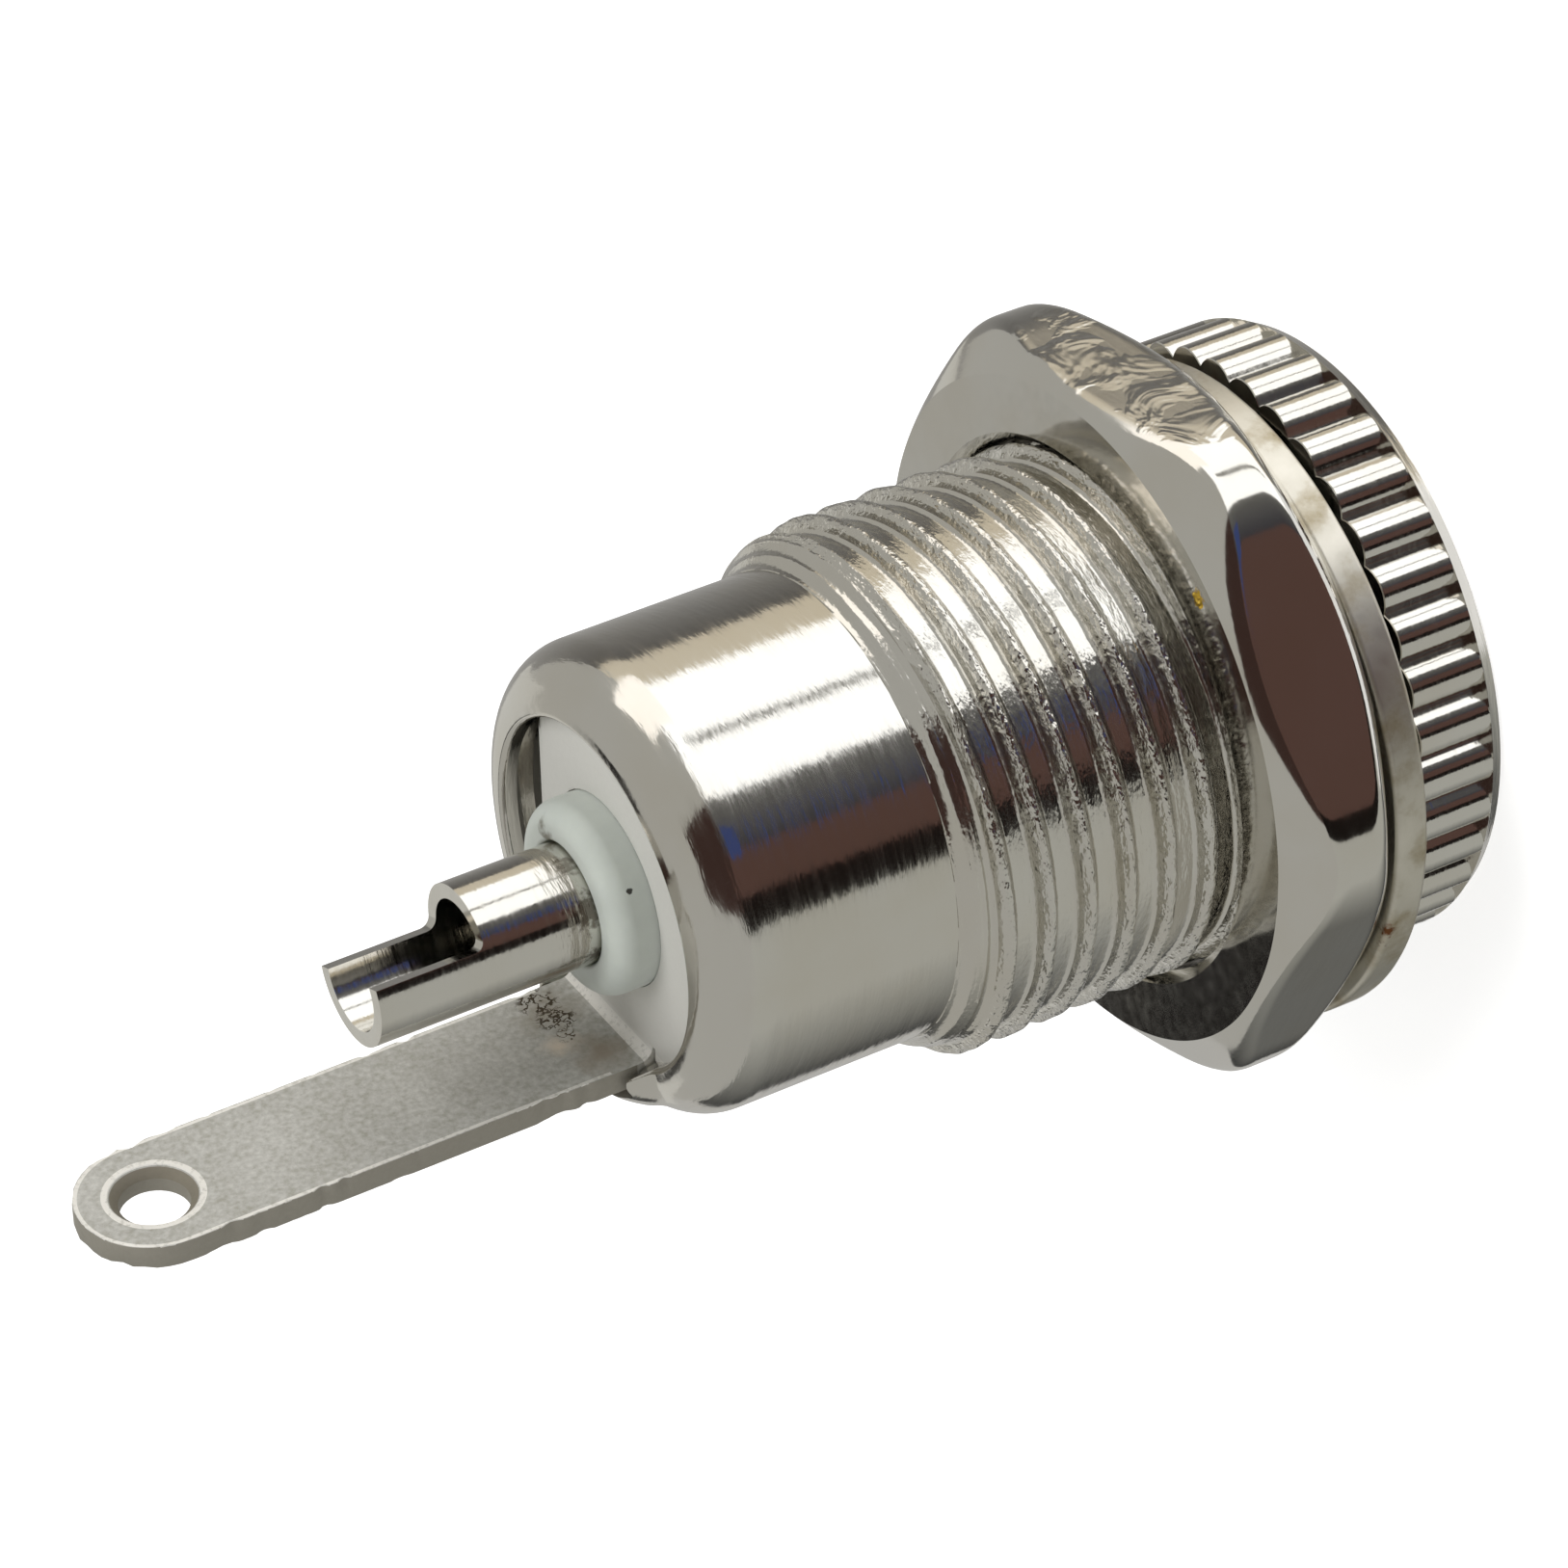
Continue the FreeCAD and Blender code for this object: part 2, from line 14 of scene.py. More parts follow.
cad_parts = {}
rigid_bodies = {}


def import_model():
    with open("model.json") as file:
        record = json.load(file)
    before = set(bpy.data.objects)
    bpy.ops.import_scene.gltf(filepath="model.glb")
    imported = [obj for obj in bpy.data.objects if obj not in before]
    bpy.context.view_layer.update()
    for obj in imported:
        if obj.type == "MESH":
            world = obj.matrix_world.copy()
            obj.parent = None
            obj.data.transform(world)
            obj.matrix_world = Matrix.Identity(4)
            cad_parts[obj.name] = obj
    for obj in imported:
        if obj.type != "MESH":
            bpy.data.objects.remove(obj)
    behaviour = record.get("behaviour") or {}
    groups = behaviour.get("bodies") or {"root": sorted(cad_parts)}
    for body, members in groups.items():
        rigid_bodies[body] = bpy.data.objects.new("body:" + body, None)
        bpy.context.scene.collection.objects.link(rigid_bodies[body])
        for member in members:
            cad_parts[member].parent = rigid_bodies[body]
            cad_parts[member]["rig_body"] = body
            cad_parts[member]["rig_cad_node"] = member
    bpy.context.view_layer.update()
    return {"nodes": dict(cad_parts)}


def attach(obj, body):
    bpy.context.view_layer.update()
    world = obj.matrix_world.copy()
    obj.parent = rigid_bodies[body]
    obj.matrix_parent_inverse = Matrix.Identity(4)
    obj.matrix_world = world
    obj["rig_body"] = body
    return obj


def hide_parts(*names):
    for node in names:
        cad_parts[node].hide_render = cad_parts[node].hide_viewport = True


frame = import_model()

logging.basicConfig(level=logging.INFO, format="%(message)s")
LOG = logging.getLogger("dc_power_jack")

Pair = tuple[float, float]
Triple = tuple[float, float, float]
Piece = bpy.types.Object
Material = bpy.types.Material
Socket = bpy.types.NodeSocket

# Pieces are modelled in millimetres and brought to metres when they are finished
MM = 0.001
PER_MM = 1.0 / MM
MERGE = 1e-4
ORIGIN = (0.0, 0.0, 0.0)
UPWARD = (0.0, 0.0, 1.0)
WHITE = "FFFFFF"
NOISE_MIDDLE = 0.5
UNIT_RANGE = (0.0, 1.0)


class Body(Enum):
    """The bodies of the jack that pieces ride on."""

    JACK = "jack"
    WASHER = "washer"
    NUT = "nut"


class Slot(Enum):
    """The record's material slots."""

    BRASS = "nickel_plated_brass"
    STEEL = "nickel_plated_steel"
    NYLON = "nylon"
    STRIP = "satin_nickel_strip"


class Plane(Enum):
    """The planes through the axes, each as what a place keeps of its X, Y and Z."""

    XY = (1.0, 1.0, 0.0)
    XZ = (1.0, 0.0, 1.0)
    YZ = (0.0, 1.0, 1.0)


def linear(hex_colour: str) -> tuple[float, float, float, float]:
    """Turns an sRGB hex colour to linear red, green, blue and a full alpha.

    Args:
        hex_colour: six hex digits.

    Returns:
        The linear colour.
    """
    shares = [int(hex_colour[place:place + 2], 16) / 255 for place in (0, 2, 4)]
    channels = [share / 12.92 if share <= 0.04045 else ((share + 0.055) / 1.055) ** 2.4
                for share in shares]
    return channels[0], channels[1], channels[2], 1.0


@dataclass(frozen=True)
class Pattern:
    """A noise pattern: how many of its cells fit in a millimetre, and the noise's own settings."""

    per_mm: float
    detail: float
    roughness: float = 0.5
    distortion: float = 0.0
    stretch: Triple | None = None


class Nodes:
    """The nodes of a material or the world: one method adds them, and short ones call it."""

    def __init__(self, owner: Material | bpy.types.World) -> None:
        """Opens the nodes of a material or the world."""
        owner.use_nodes = True
        self.tree = owner.node_tree

    def feed(self, node: bpy.types.Node | str, inputs: dict[Any, Any]) -> None:
        """Feeds a node's inputs.

        Args:
            node: the node, or the name of one that is already there.
            inputs: names or numbers of inputs, each with a socket, a value or a hex colour.
        """
        fed = self.tree.nodes[node] if isinstance(node, str) else node
        for name, value in inputs.items():
            if isinstance(value, Socket):
                self.tree.links.new(value, fed.inputs[name])
            else:
                fed.inputs[name].default_value = linear(value) if isinstance(value, str) else value

    def add(self, kind: str, inputs: dict[Any, Any] | None = None,
            **settings: Any) -> bpy.types.NodeOutputs:
        """Adds a shader node.

        Args:
            kind: the node's type name without its Shader prefix.
            inputs: what its inputs are fed with.
            settings: its properties.

        Returns:
            The node's outputs.
        """
        node = self.tree.nodes.new("ShaderNode" + kind)
        for name, value in settings.items():
            setattr(node, name, value)
        self.feed(node, inputs or {})
        return node.outputs

    @cached_property
    def place(self) -> Socket:
        """The place in the object."""
        return self.add("TexCoord")["Object"]

    @cached_property
    def axes(self) -> bpy.types.NodeOutputs:
        """The place's X, Y and Z."""
        return self.add("SeparateXYZ", {"Vector": self.place})

    def compute(self, operation: str, *values: Socket | float) -> Socket:
        """Calculates with numbers."""
        return self.add("Math", dict(enumerate(values)), operation=operation)["Value"]

    def shift(self, operation: str, *vectors: Any) -> Socket:
        """Calculates a vector from vectors."""
        return self.add("VectorMath", dict(enumerate(vectors)), operation=operation)["Vector"]

    def measure(self, operation: str, *vectors: Any) -> Socket:
        """Calculates a number from vectors."""
        return self.add("VectorMath", dict(enumerate(vectors)), operation=operation)["Value"]

    def rescale(self, value: Socket, start: Pair, end: Pair = UNIT_RANGE) -> Socket:
        """Brings a number from one range to another and holds it there."""
        return self.add("MapRange", {"Value": value, "From Min": start[0], "From Max": start[1],
                                     "To Min": end[0], "To Max": end[1]})["Result"]

    def between(self, distance: Socket, ends: Pair) -> Socket:
        """Masks where a distance lies between two ends, which are in millimetres."""
        return self.compute("COMPARE", distance, sum(ends) / 2 * MM, (ends[1] - ends[0]) / 2 * MM)

    def mix(self, share: Socket, colour: Socket | str, other: Socket | str) -> Socket:
        """Mixes a share of another colour into a colour."""
        return self.add("Mix", {0: share, 6: colour, 7: other}, data_type="RGBA")[2]

    def draw(self, pattern: Pattern) -> Socket:
        """Draws a noise pattern in the object.

        Args:
            pattern: the pattern.

        Returns:
            Its value.
        """
        place = self.place
        if pattern.stretch:
            place = self.add("Mapping", {"Vector": place, "Scale": pattern.stretch})["Vector"]
        return self.add("TexNoise", {
            "Vector": place, "Scale": pattern.per_mm * PER_MM, "Detail": pattern.detail,
            "Roughness": pattern.roughness, "Distortion": pattern.distortion})["Fac"]

    def bump(self, height: Socket, depth_mm: float, normal: Socket | None = None,
             strength: float = 1.0) -> Socket:
        """Raises the surface by a height from 0 to 1, on top of another normal if one is given."""
        before = {} if normal is None else {"Normal": normal}
        return self.add("Bump", {"Height": height, "Strength": strength,
                                 "Distance": depth_mm * MM, **before})["Normal"]

    def ramp(self, factor: Socket, *stops: tuple[float, str]) -> Socket:
        """Adds a colour ramp.

        Args:
            factor: the socket that drives the ramp.
            stops: places from 0 to 1 with their hex colours, in order.

        Returns:
            The ramp's colour.
        """
        shade = self.add("ValToRGB", {"Fac": factor})["Color"]
        elements = shade.node.color_ramp.elements
        for element, (place, colour) in zip(elements, (stops[0], stops[-1])):
            element.position, element.color = place, linear(colour)
        for place, colour in stops[1:-1]:
            elements.new(place).color = linear(colour)
        return shade

    def seen(self) -> Socket:
        """Masks what the camera sees, straight, in a mirror or through glass.

        Returns:
            The mask.
        """
        rays = self.add("LightPath")
        mirrored = self.compute("MAXIMUM", rays["Is Camera Ray"], rays["Is Glossy Ray"])
        return self.compute("MAXIMUM", mirrored, rays["Is Transmission Ray"])


@dataclass(frozen=True)
class Mark:
    """A stain or speck at one place of the jack, ragged at its edge, its sizes in millimetres."""

    place: Triple
    reach: float
    colour: str
    grain: float = 0.15
    raggedness: float = 1.2
    softness: float = 0.25
    strength: float = 1.0
    scribble: float = 0.0

    def stain(self, nodes: Nodes, colour: Socket) -> Socket:
        """Lays the mark over a colour.

        Args:
            nodes: the material's nodes.
            colour: the colour without the mark.

        Returns:
            The colour with the mark.
        """
        away = nodes.measure("DISTANCE", nodes.place, Vector(self.place) * MM)
        grain = nodes.draw(Pattern(1 / self.grain, detail=3.0))
        ragged = nodes.compute("MULTIPLY_ADD", grain, self.raggedness * self.reach * MM, away)
        edge = (1.0 + self.raggedness / 2) * self.reach * MM
        inner_edge = edge - self.softness * self.reach * MM
        amount = nodes.rescale(ragged, (edge, inner_edge), (0.0, self.strength))
        if self.scribble:
            line = nodes.compute("COMPARE", grain, NOISE_MIDDLE, self.scribble)
            amount = nodes.compute("MULTIPLY", amount, line)
        return nodes.mix(amount, colour, self.colour)


@dataclass(frozen=True)
class Finish:
    """What the finishes share: a name, and the marks that the jack shows at certain places."""

    name: str
    marks: tuple[Mark, ...] = ()

    def stain(self, nodes: Nodes, colour: Socket) -> Socket:
        """Lays the marks over a colour.

        Args:
            nodes: the material's nodes.
            colour: the colour without the marks.

        Returns:
            The colour with the marks.
        """
        for mark in self.marks:
            colour = mark.stain(nodes, colour)
        return colour

    def shade(self, nodes: Nodes) -> dict[str, Any]:
        """Returns what the shader's inputs are fed with. Each finish has its own."""
        raise NotImplementedError

    def build(self) -> Material:
        """Builds the material.

        Returns:
            The material.
        """
        material = bpy.data.materials.new(self.name)
        nodes = Nodes(material)
        nodes.feed("Principled BSDF", self.shade(nodes))
        return material


# Turning marks and dents are drawn coarser than they are, so that they show
TURNING_MARKS = Pattern(1 / 0.09, 3.0, 0.6, stretch=(0.06, 0.06, 1.0))
DENTS = Pattern(1 / 0.60, 4.0, 0.62, stretch=(0.35, 0.35, 2.2))


@dataclass(frozen=True)
class PlatedBrass(Finish):
    """Turned brass with bright nickel plating: sharp reflections, slightly warm, finely marked.

    The plating is a true mirror, so the studio shows in it as crisp bands that the turning marks
    and small dents break up.
    """

    colour: str = "DAD8D2"
    warm_colour: str = "CFC8B8"
    warm_share: float = 0.35
    clouds: Pattern = Pattern(0.35, 4.0)
    cloud_range: Pair = (0.42, 0.68)
    roughness: float = 0.09
    rough_spread: float = 0.10
    turning_marks: Pattern = TURNING_MARKS
    turning_range: Pair = (0.35, 0.75)
    turning_depth_mm: float = 0.0012
    dents: Pattern = DENTS
    dent_depth_mm: float = 0.014
    burr_radius_mm: float = 0.0
    burr_ends_mm: Pair = (-0.06, 0.04)
    groove_burr: float = 0.18
    tears: Pattern = Pattern(6.5, 2.5, 0.65, stretch=(0.45, 0.45, 1.0))
    burr_depth_mm: float = 0.09
    burr_dulling: float = 0.03
    scuff_bearing: float | None = None
    scuff_ends_mm: Pair = (7.12, 7.19)
    rubs: Pattern = Pattern(0.75, 3.0, distortion=0.8)
    pit_range: Pair = (0.46, 0.74)
    scuff_depth_mm: float = 0.055
    scuff_dulling: float = 0.10

    def ridges(self, nodes: Nodes) -> Socket:
        """Masks what stands out past the burr radius, where the die has torn the thread's ridges.

        Args:
            nodes: the material's nodes.

        Returns:
            The mask, 1 on the ridges.
        """
        radius = nodes.measure("LENGTH", nodes.shift("MULTIPLY", nodes.place, Plane.XY.value))
        inner, outer = [(self.burr_radius_mm + end) * MM for end in self.burr_ends_mm]
        return nodes.rescale(radius, (inner, outer), (self.groove_burr, 1.0))

    def rubbed_flat(self, nodes: Nodes, bearing: float) -> Socket:
        """Masks the flat at a bearing, which a spanner or another part has rubbed.

        Args:
            nodes: the material's nodes.
            bearing: the bearing that the flat faces, in degrees.

        Returns:
            The mask, 1 on the flat.
        """
        aim = math.radians(bearing)
        reach = nodes.measure("DOT_PRODUCT", nodes.place, (math.cos(aim), math.sin(aim), 0.0))
        return nodes.rescale(reach, (self.scuff_ends_mm[0] * MM, self.scuff_ends_mm[1] * MM))

    def shade(self, nodes: Nodes) -> dict[str, Any]:
        """Shades the plating.

        Args:
            nodes: the material's nodes.

        Returns:
            What the shader's inputs are fed with.
        """
        warmth = nodes.rescale(nodes.draw(self.clouds), self.cloud_range, (0.0, self.warm_share))
        colour = self.stain(nodes, nodes.mix(warmth, self.colour, self.warm_colour))
        lines = nodes.draw(self.turning_marks)
        gloss = nodes.rescale(lines, self.turning_range,
                              (self.roughness, self.roughness + self.rough_spread))
        fine = nodes.bump(lines, self.turning_depth_mm)
        normal = nodes.bump(nodes.draw(self.dents), self.dent_depth_mm, fine)
        wear = []
        if self.burr_radius_mm:
            wear.append((self.ridges(nodes), nodes.draw(self.tears), self.burr_depth_mm,
                         self.burr_dulling))
        if self.scuff_bearing is not None:
            pits = nodes.rescale(nodes.draw(self.rubs), self.pit_range)
            wear.append((self.rubbed_flat(nodes, self.scuff_bearing), pits, self.scuff_depth_mm,
                         self.scuff_dulling))
        for mask, relief, depth_mm, dulling in wear:
            normal = nodes.bump(nodes.compute("MULTIPLY", relief, mask), depth_mm, normal)
            gloss = nodes.compute("MULTIPLY_ADD", mask, dulling, gloss)
        return {"Base Color": colour, "Roughness": gloss, "Normal": normal, "Metallic": 1.0}


@dataclass(frozen=True)
class RolledStrip(Finish):
    """Nickel plated steel strip, rolled and tumbled: satin, with a grain that scatters the light.

    The grain is drawn coarser than it is, so that it shows.
    """

    name: str = "satin_nickel_plated_strip"
    colour: str = "BDBCB6"
    dull_colour: str = "A6A49A"
    pale_colour: str = "D0CFC9"
    grain: Pattern = Pattern(1 / 0.13, 3.0, 0.65)
    grain_depth_mm: float = 0.009
    clouds: Pattern = Pattern(0.6, 5.0)
    cloud_share: float = 0.3
    tone_spread: float = 0.22
    roughness: Pair = (0.52, 0.68)
    gloss_range: Pair = (0.3, 0.7)
    metallic: float = 0.42
    # Lighter, more metallic colour for the painted highlights on the eye ring and the bend, and for
    # the outline's line, which is partly wear and partly painted highlight
    worn_and_highlight_colour: str = "EFEDE7"
    worn_and_highlight_metallic: float = 0.55
    worn_and_highlight_range: Pair = (0.34, 0.48)
    worn_and_highlight_least: float = 0.55
    eye_axis: Triple = (0.0, 0.0, 26.50)
    eye_highlight_ring: Pair = (0.87, 1.01)
    # Painted shade: a darker colour inside the eye hole
    eye_hole_shade: Pair = (0.0, 0.85)
    hole_shade_colour: str = "8C8678"
    side_colour: str = "99958A"
    side_facing: Pair = (0.55, 0.30)
    side_start: float = 16.85
    # Painted light: the plate, which faces up towards the lamps, is painted lighter than the lug
    plate_lit_colour: str = "DAD9D3"
    plate_top: float = 16.53
    bend_axis: Triple = (3.15, 0.0, 16.50)
    bend_highlight_ring: Pair = (0.0, 0.20)
    rim_line: Pair = (1.45, 1.53)
    rim_start: float = 17.4
    inner_face: float = 3.18

    def band(self, nodes: Nodes, axis: Triple, ring: Pair, plane: Plane) -> Socket:
        """Masks a ring about a line through the jack.

        Args:
            nodes: the material's nodes.
            axis: a point on the line, in millimetres.
            ring: the ring's inner and outer radius.
            plane: the plane that the line stands on.

        Returns:
            The mask, 1 on the ring.
        """
        off = nodes.shift("SUBTRACT", nodes.place, Vector(axis) * MM)
        away = nodes.measure("LENGTH", nodes.shift("MULTIPLY", off, plane.value))
        return nodes.between(away, ring)

    def rim(self, nodes: Nodes) -> Socket:
        """Masks the bright line along the lug's outline, partly rubbed by the tumbling and partly a
        painted highlight.

        Args:
            nodes: the material's nodes.

        Returns:
            The mask, 1 on the line.
        """
        above = nodes.compute("SUBTRACT", nodes.axes["Z"], self.eye_axis[2] * MM)
        over = nodes.compute("MAXIMUM", above, 0.0)
        flat = nodes.add("CombineXYZ", {"Y": nodes.axes["Y"], "Z": over})["Vector"]
        line = nodes.between(nodes.measure("LENGTH", flat), self.rim_line)
        on_lug = nodes.compute("GREATER_THAN", nodes.axes["Z"], self.rim_start * MM)
        on_face = nodes.compute("LESS_THAN", nodes.axes["X"], self.inner_face * MM)
        return nodes.compute("MULTIPLY", line, nodes.compute("MULTIPLY", on_lug, on_face))

    def sheared(self, nodes: Nodes) -> Socket:
        """Masks the lug's sides, which the punch has sheared and left dull.

        Args:
            nodes: the material's nodes.

        Returns:
            The mask, 1 on the sides.
        """
        facing = nodes.add("SeparateXYZ", {"Vector": nodes.add("TexCoord")["Normal"]})
        side = nodes.rescale(nodes.compute("ABSOLUTE", facing["X"]), self.side_facing)
        on_lug = nodes.compute("GREATER_THAN", nodes.axes["Z"], self.side_start * MM)
        return nodes.compute("MULTIPLY", side, on_lug)

    def shade(self, nodes: Nodes) -> dict[str, Any]:
        """Shades the strip.

        Args:
            nodes: the material's nodes.

        Returns:
            What the shader's inputs are fed with.
        """
        grain = nodes.draw(self.grain)
        # Painted highlight on the rings about the eye and along the bend; the outline's line is
        # partly wear and partly painted highlight
        highlight_rings = nodes.compute("MAXIMUM",
                              self.band(nodes, self.eye_axis, self.eye_highlight_ring, Plane.YZ),
                              self.band(nodes, self.bend_axis, self.bend_highlight_ring, Plane.XZ))
        patchy = nodes.rescale(grain, self.worn_and_highlight_range, (self.worn_and_highlight_least, 1.0))
        wear_and_highlight = nodes.compute("MULTIPLY", nodes.compute("MAXIMUM", highlight_rings, self.rim(nodes)), patchy)
        mottle = nodes.compute("MULTIPLY_ADD", nodes.draw(self.clouds), self.cloud_share, grain)
        middle = NOISE_MIDDLE + self.cloud_share / 2
        colour = self.stain(nodes, nodes.ramp(mottle, (middle - self.tone_spread, self.dull_colour),
                                              (middle, self.colour),
                                              (middle + self.tone_spread, self.pale_colour)))
        # Painted light on the upward-facing plate
        on_lit_plate = nodes.compute("LESS_THAN", nodes.axes["Z"], self.plate_top * MM)
        # Painted shade inside the eye hole
        in_hole_shade = self.band(nodes, self.eye_axis, self.eye_hole_shade, Plane.YZ)
        for mask, tint in ((on_lit_plate, self.plate_lit_colour), (in_hole_shade, self.hole_shade_colour),
                           (self.sheared(nodes), self.side_colour), (wear_and_highlight, self.worn_and_highlight_colour)):
            colour = nodes.mix(mask, colour, tint)
        return {"Base Color": colour, "Normal": nodes.bump(grain, self.grain_depth_mm),
                "Metallic": nodes.rescale(wear_and_highlight, UNIT_RANGE, (self.metallic, self.worn_and_highlight_metallic)),
                "Roughness": nodes.rescale(grain, self.gloss_range, self.roughness)}


@dataclass(frozen=True)
class MouldedNylon(Finish):
    """Natural nylon, injection moulded: grey-green white, slightly see-through, softly glossy."""

    name: str = "moulded_natural_nylon"
    specks: Pattern = Pattern(1.3, 4.0)
    tones: tuple[tuple[float, str], ...] = ((0.24, "6E6C60"), (0.32, "B4B9B2"), (0.80, "BEC3BB"))
    skin: Pattern = Pattern(9.0, 2.0)
    skin_depth_mm: float = 0.004
    skin_strength: float = 0.6
    roughness: float = 0.42
    nylon_ior: float = 1.53
    see_through: float = 0.35
    light_reach: Triple = (1.0, 1.0, 0.85)
    light_reach_mm: float = 0.6

    def shade(self, nodes: Nodes) -> dict[str, Any]:
        """Shades the nylon."""
        return {"Base Color": self.stain(nodes, nodes.ramp(nodes.draw(self.specks), *self.tones)),
                "Normal": nodes.bump(nodes.draw(self.skin), self.skin_depth_mm,
                                     strength=self.skin_strength),
                "Roughness": self.roughness, "IOR": self.nylon_ior,
                "Subsurface Weight": self.see_through, "Subsurface Radius": self.light_reach,
                "Subsurface Scale": self.light_reach_mm * MM}


@dataclass(frozen=True)
class SpringSteel(Finish):
    """Nickel plated spring steel wire: bright, slightly yellowed, rusty where plating is thin."""

    name: str = "nickel_plated_spring_steel"
    patches: Pattern = Pattern(0.9, 6.0, 0.6)
    tones: tuple[tuple[float, str], ...] = (
        (0.24, "6A4A2C"), (0.33, "B9AF98"), (0.50, "D6D2C6"), (0.75, "DEDACF"))
    gloss_range: Pair = (0.30, 0.60)
    roughness: Pair = (0.55, 0.38)
    patch_depth_mm: float = 0.01
    patch_strength: float = 0.8

    def shade(self, nodes: Nodes) -> dict[str, Any]:
        """Shades the steel."""
        patches = nodes.draw(self.patches)
        return {"Base Color": self.stain(nodes, nodes.ramp(patches, *self.tones)),
                "Roughness": nodes.rescale(patches, self.gloss_range, self.roughness),
                "Normal": nodes.bump(patches, self.patch_depth_mm, strength=self.patch_strength),
                "Metallic": 1.0}


# The finishes, with the stains and specks at the places where the jack shows them
TURNED = PlatedBrass("bright_nickel_plating")
THREAD = PlatedBrass(
    "nickel_plated_thread", roughness=0.10, rough_spread=0.12,
    dents=replace(DENTS, per_mm=1 / 0.30), dent_depth_mm=0.010, burr_radius_mm=5.30)
HEX_BAR = PlatedBrass(
    "nickel_plated_hex_bar", roughness=0.08, rough_spread=0.04,
    turning_marks=replace(TURNING_MARKS, per_mm=1 / 0.25, stretch=(0.8, 0.8, 1.0)),
    turning_depth_mm=0.0004, dents=replace(DENTS, per_mm=1 / 0.50), dent_depth_mm=0.003,
    scuff_bearing=184.9,
    marks=(Mark((-5.13, 4.05, 5.72), 0.20, "FFD552", grain=0.10, raggedness=1.6),))
TUBE = PlatedBrass("nickel_plated_contact", marks=(
    Mark((-0.60, 1.09, 17.55), 0.42, "6B6258", 0.12, raggedness=2.4, softness=0.6, strength=0.85),
    Mark((0.45, 1.16, 17.45), 0.28, "5C5146", 0.10, raggedness=2.2, softness=0.6, strength=0.85),
    Mark((-1.20, 0.30, 17.55), 0.26, "70675C", 0.10, raggedness=2.4, softness=0.6, strength=0.7),
))
WIRE = SpringSteel(marks=(
    Mark((2.54, 6.82, 3.30), 0.30, "6A4429", 0.12, raggedness=1.6, softness=0.5),
    Mark((2.14, 6.94, 3.10), 0.25, "7A5030", 0.10, raggedness=1.6, softness=0.5),
))
NYLON = MouldedNylon(marks=(
    Mark((-1.17, 1.62, 16.92), 0.07, "34342F", 0.04),
    Mark((-1.56, -1.34, 16.50), 0.16, "5A584C", 0.06, raggedness=2.0),
))
STRIP = RolledStrip(marks=(
    Mark((3.15, 0.24, 17.80), 0.45, "E2D6C6", 0.35, softness=0.9, strength=0.9),
    Mark((3.15, 0.85, 17.25), 0.70, "A79A8A", 0.45, softness=0.8, strength=0.8),
    Mark((3.15, -0.80, 17.50), 0.80, "8F8470", 0.30, raggedness=1.8, softness=0.9, strength=0.6),
    Mark((3.15, -1.15, 17.55), 0.46, "453B2C", 0.19, 1.6, softness=0.3, scribble=0.045),
    Mark((3.15, -0.50, 17.48), 0.44, "453B2C", 0.17, 1.8, softness=0.3, scribble=0.040),
    Mark((3.15, 0.02, 17.55), 0.26, "5A4E3C", 0.16, 2.0, softness=0.4, scribble=0.035),
))


def deselect_all() -> None:
    """Clears the selection, because operators act on all that is selected."""
    bpy.ops.object.select_all(action="DESELECT")


def select_only(piece: Piece) -> None:
    """Makes one piece the selected and active one.

    Args:
        piece: the piece.
    """
    deselect_all()
    piece.select_set(True)
    bpy.context.view_layer.objects.active = piece


def select_open_edges() -> None:
    """Selects the edges that don't have two faces, in edit mode."""
    bpy.ops.mesh.select_mode(type="EDGE")
    bpy.ops.mesh.select_all(action="DESELECT")
    bpy.ops.mesh.select_non_manifold()


def close_up() -> None:
    """Merges doubles, points the faces outwards and leaves edit mode."""
    bpy.ops.mesh.select_all(action="SELECT")
    bpy.ops.mesh.remove_doubles(threshold=MERGE)
    bpy.ops.mesh.normals_make_consistent(inside=False)
    bpy.ops.object.mode_set(mode="OBJECT")


def modify(piece: Piece, kind: str, **settings: Any) -> None:
    """Adds a modifier to a piece and applies it.

    Args:
        piece: the piece.
        kind: the modifier's type.
        settings: its properties.
    """
    select_only(piece)
    bpy.ops.object.modifier_add(type=kind)
    modifier = piece.modifiers[-1]
    for name, value in settings.items():
        setattr(modifier, name, value)
    bpy.ops.object.modifier_apply(modifier=modifier.name)


def arc(centre: Pair, radius: float, start: float, end: float, steps: int) -> list[Pair]:
    """Draws an arc, both its ends included.

    Args:
        centre: radius and height of the arc's centre.
        radius: the arc's own radius.
        start: angle of its first point, in degrees from the outward direction.
        end: angle of its last point.
        steps: how many chords it is drawn with.

    Returns:
        Its points, each a radius and a height.
    """
    angles = [math.radians(start + (end - start) * step / steps) for step in range(steps + 1)]
    return [(centre[0] + radius * math.cos(angle), centre[1] + radius * math.sin(angle))
            for angle in angles]


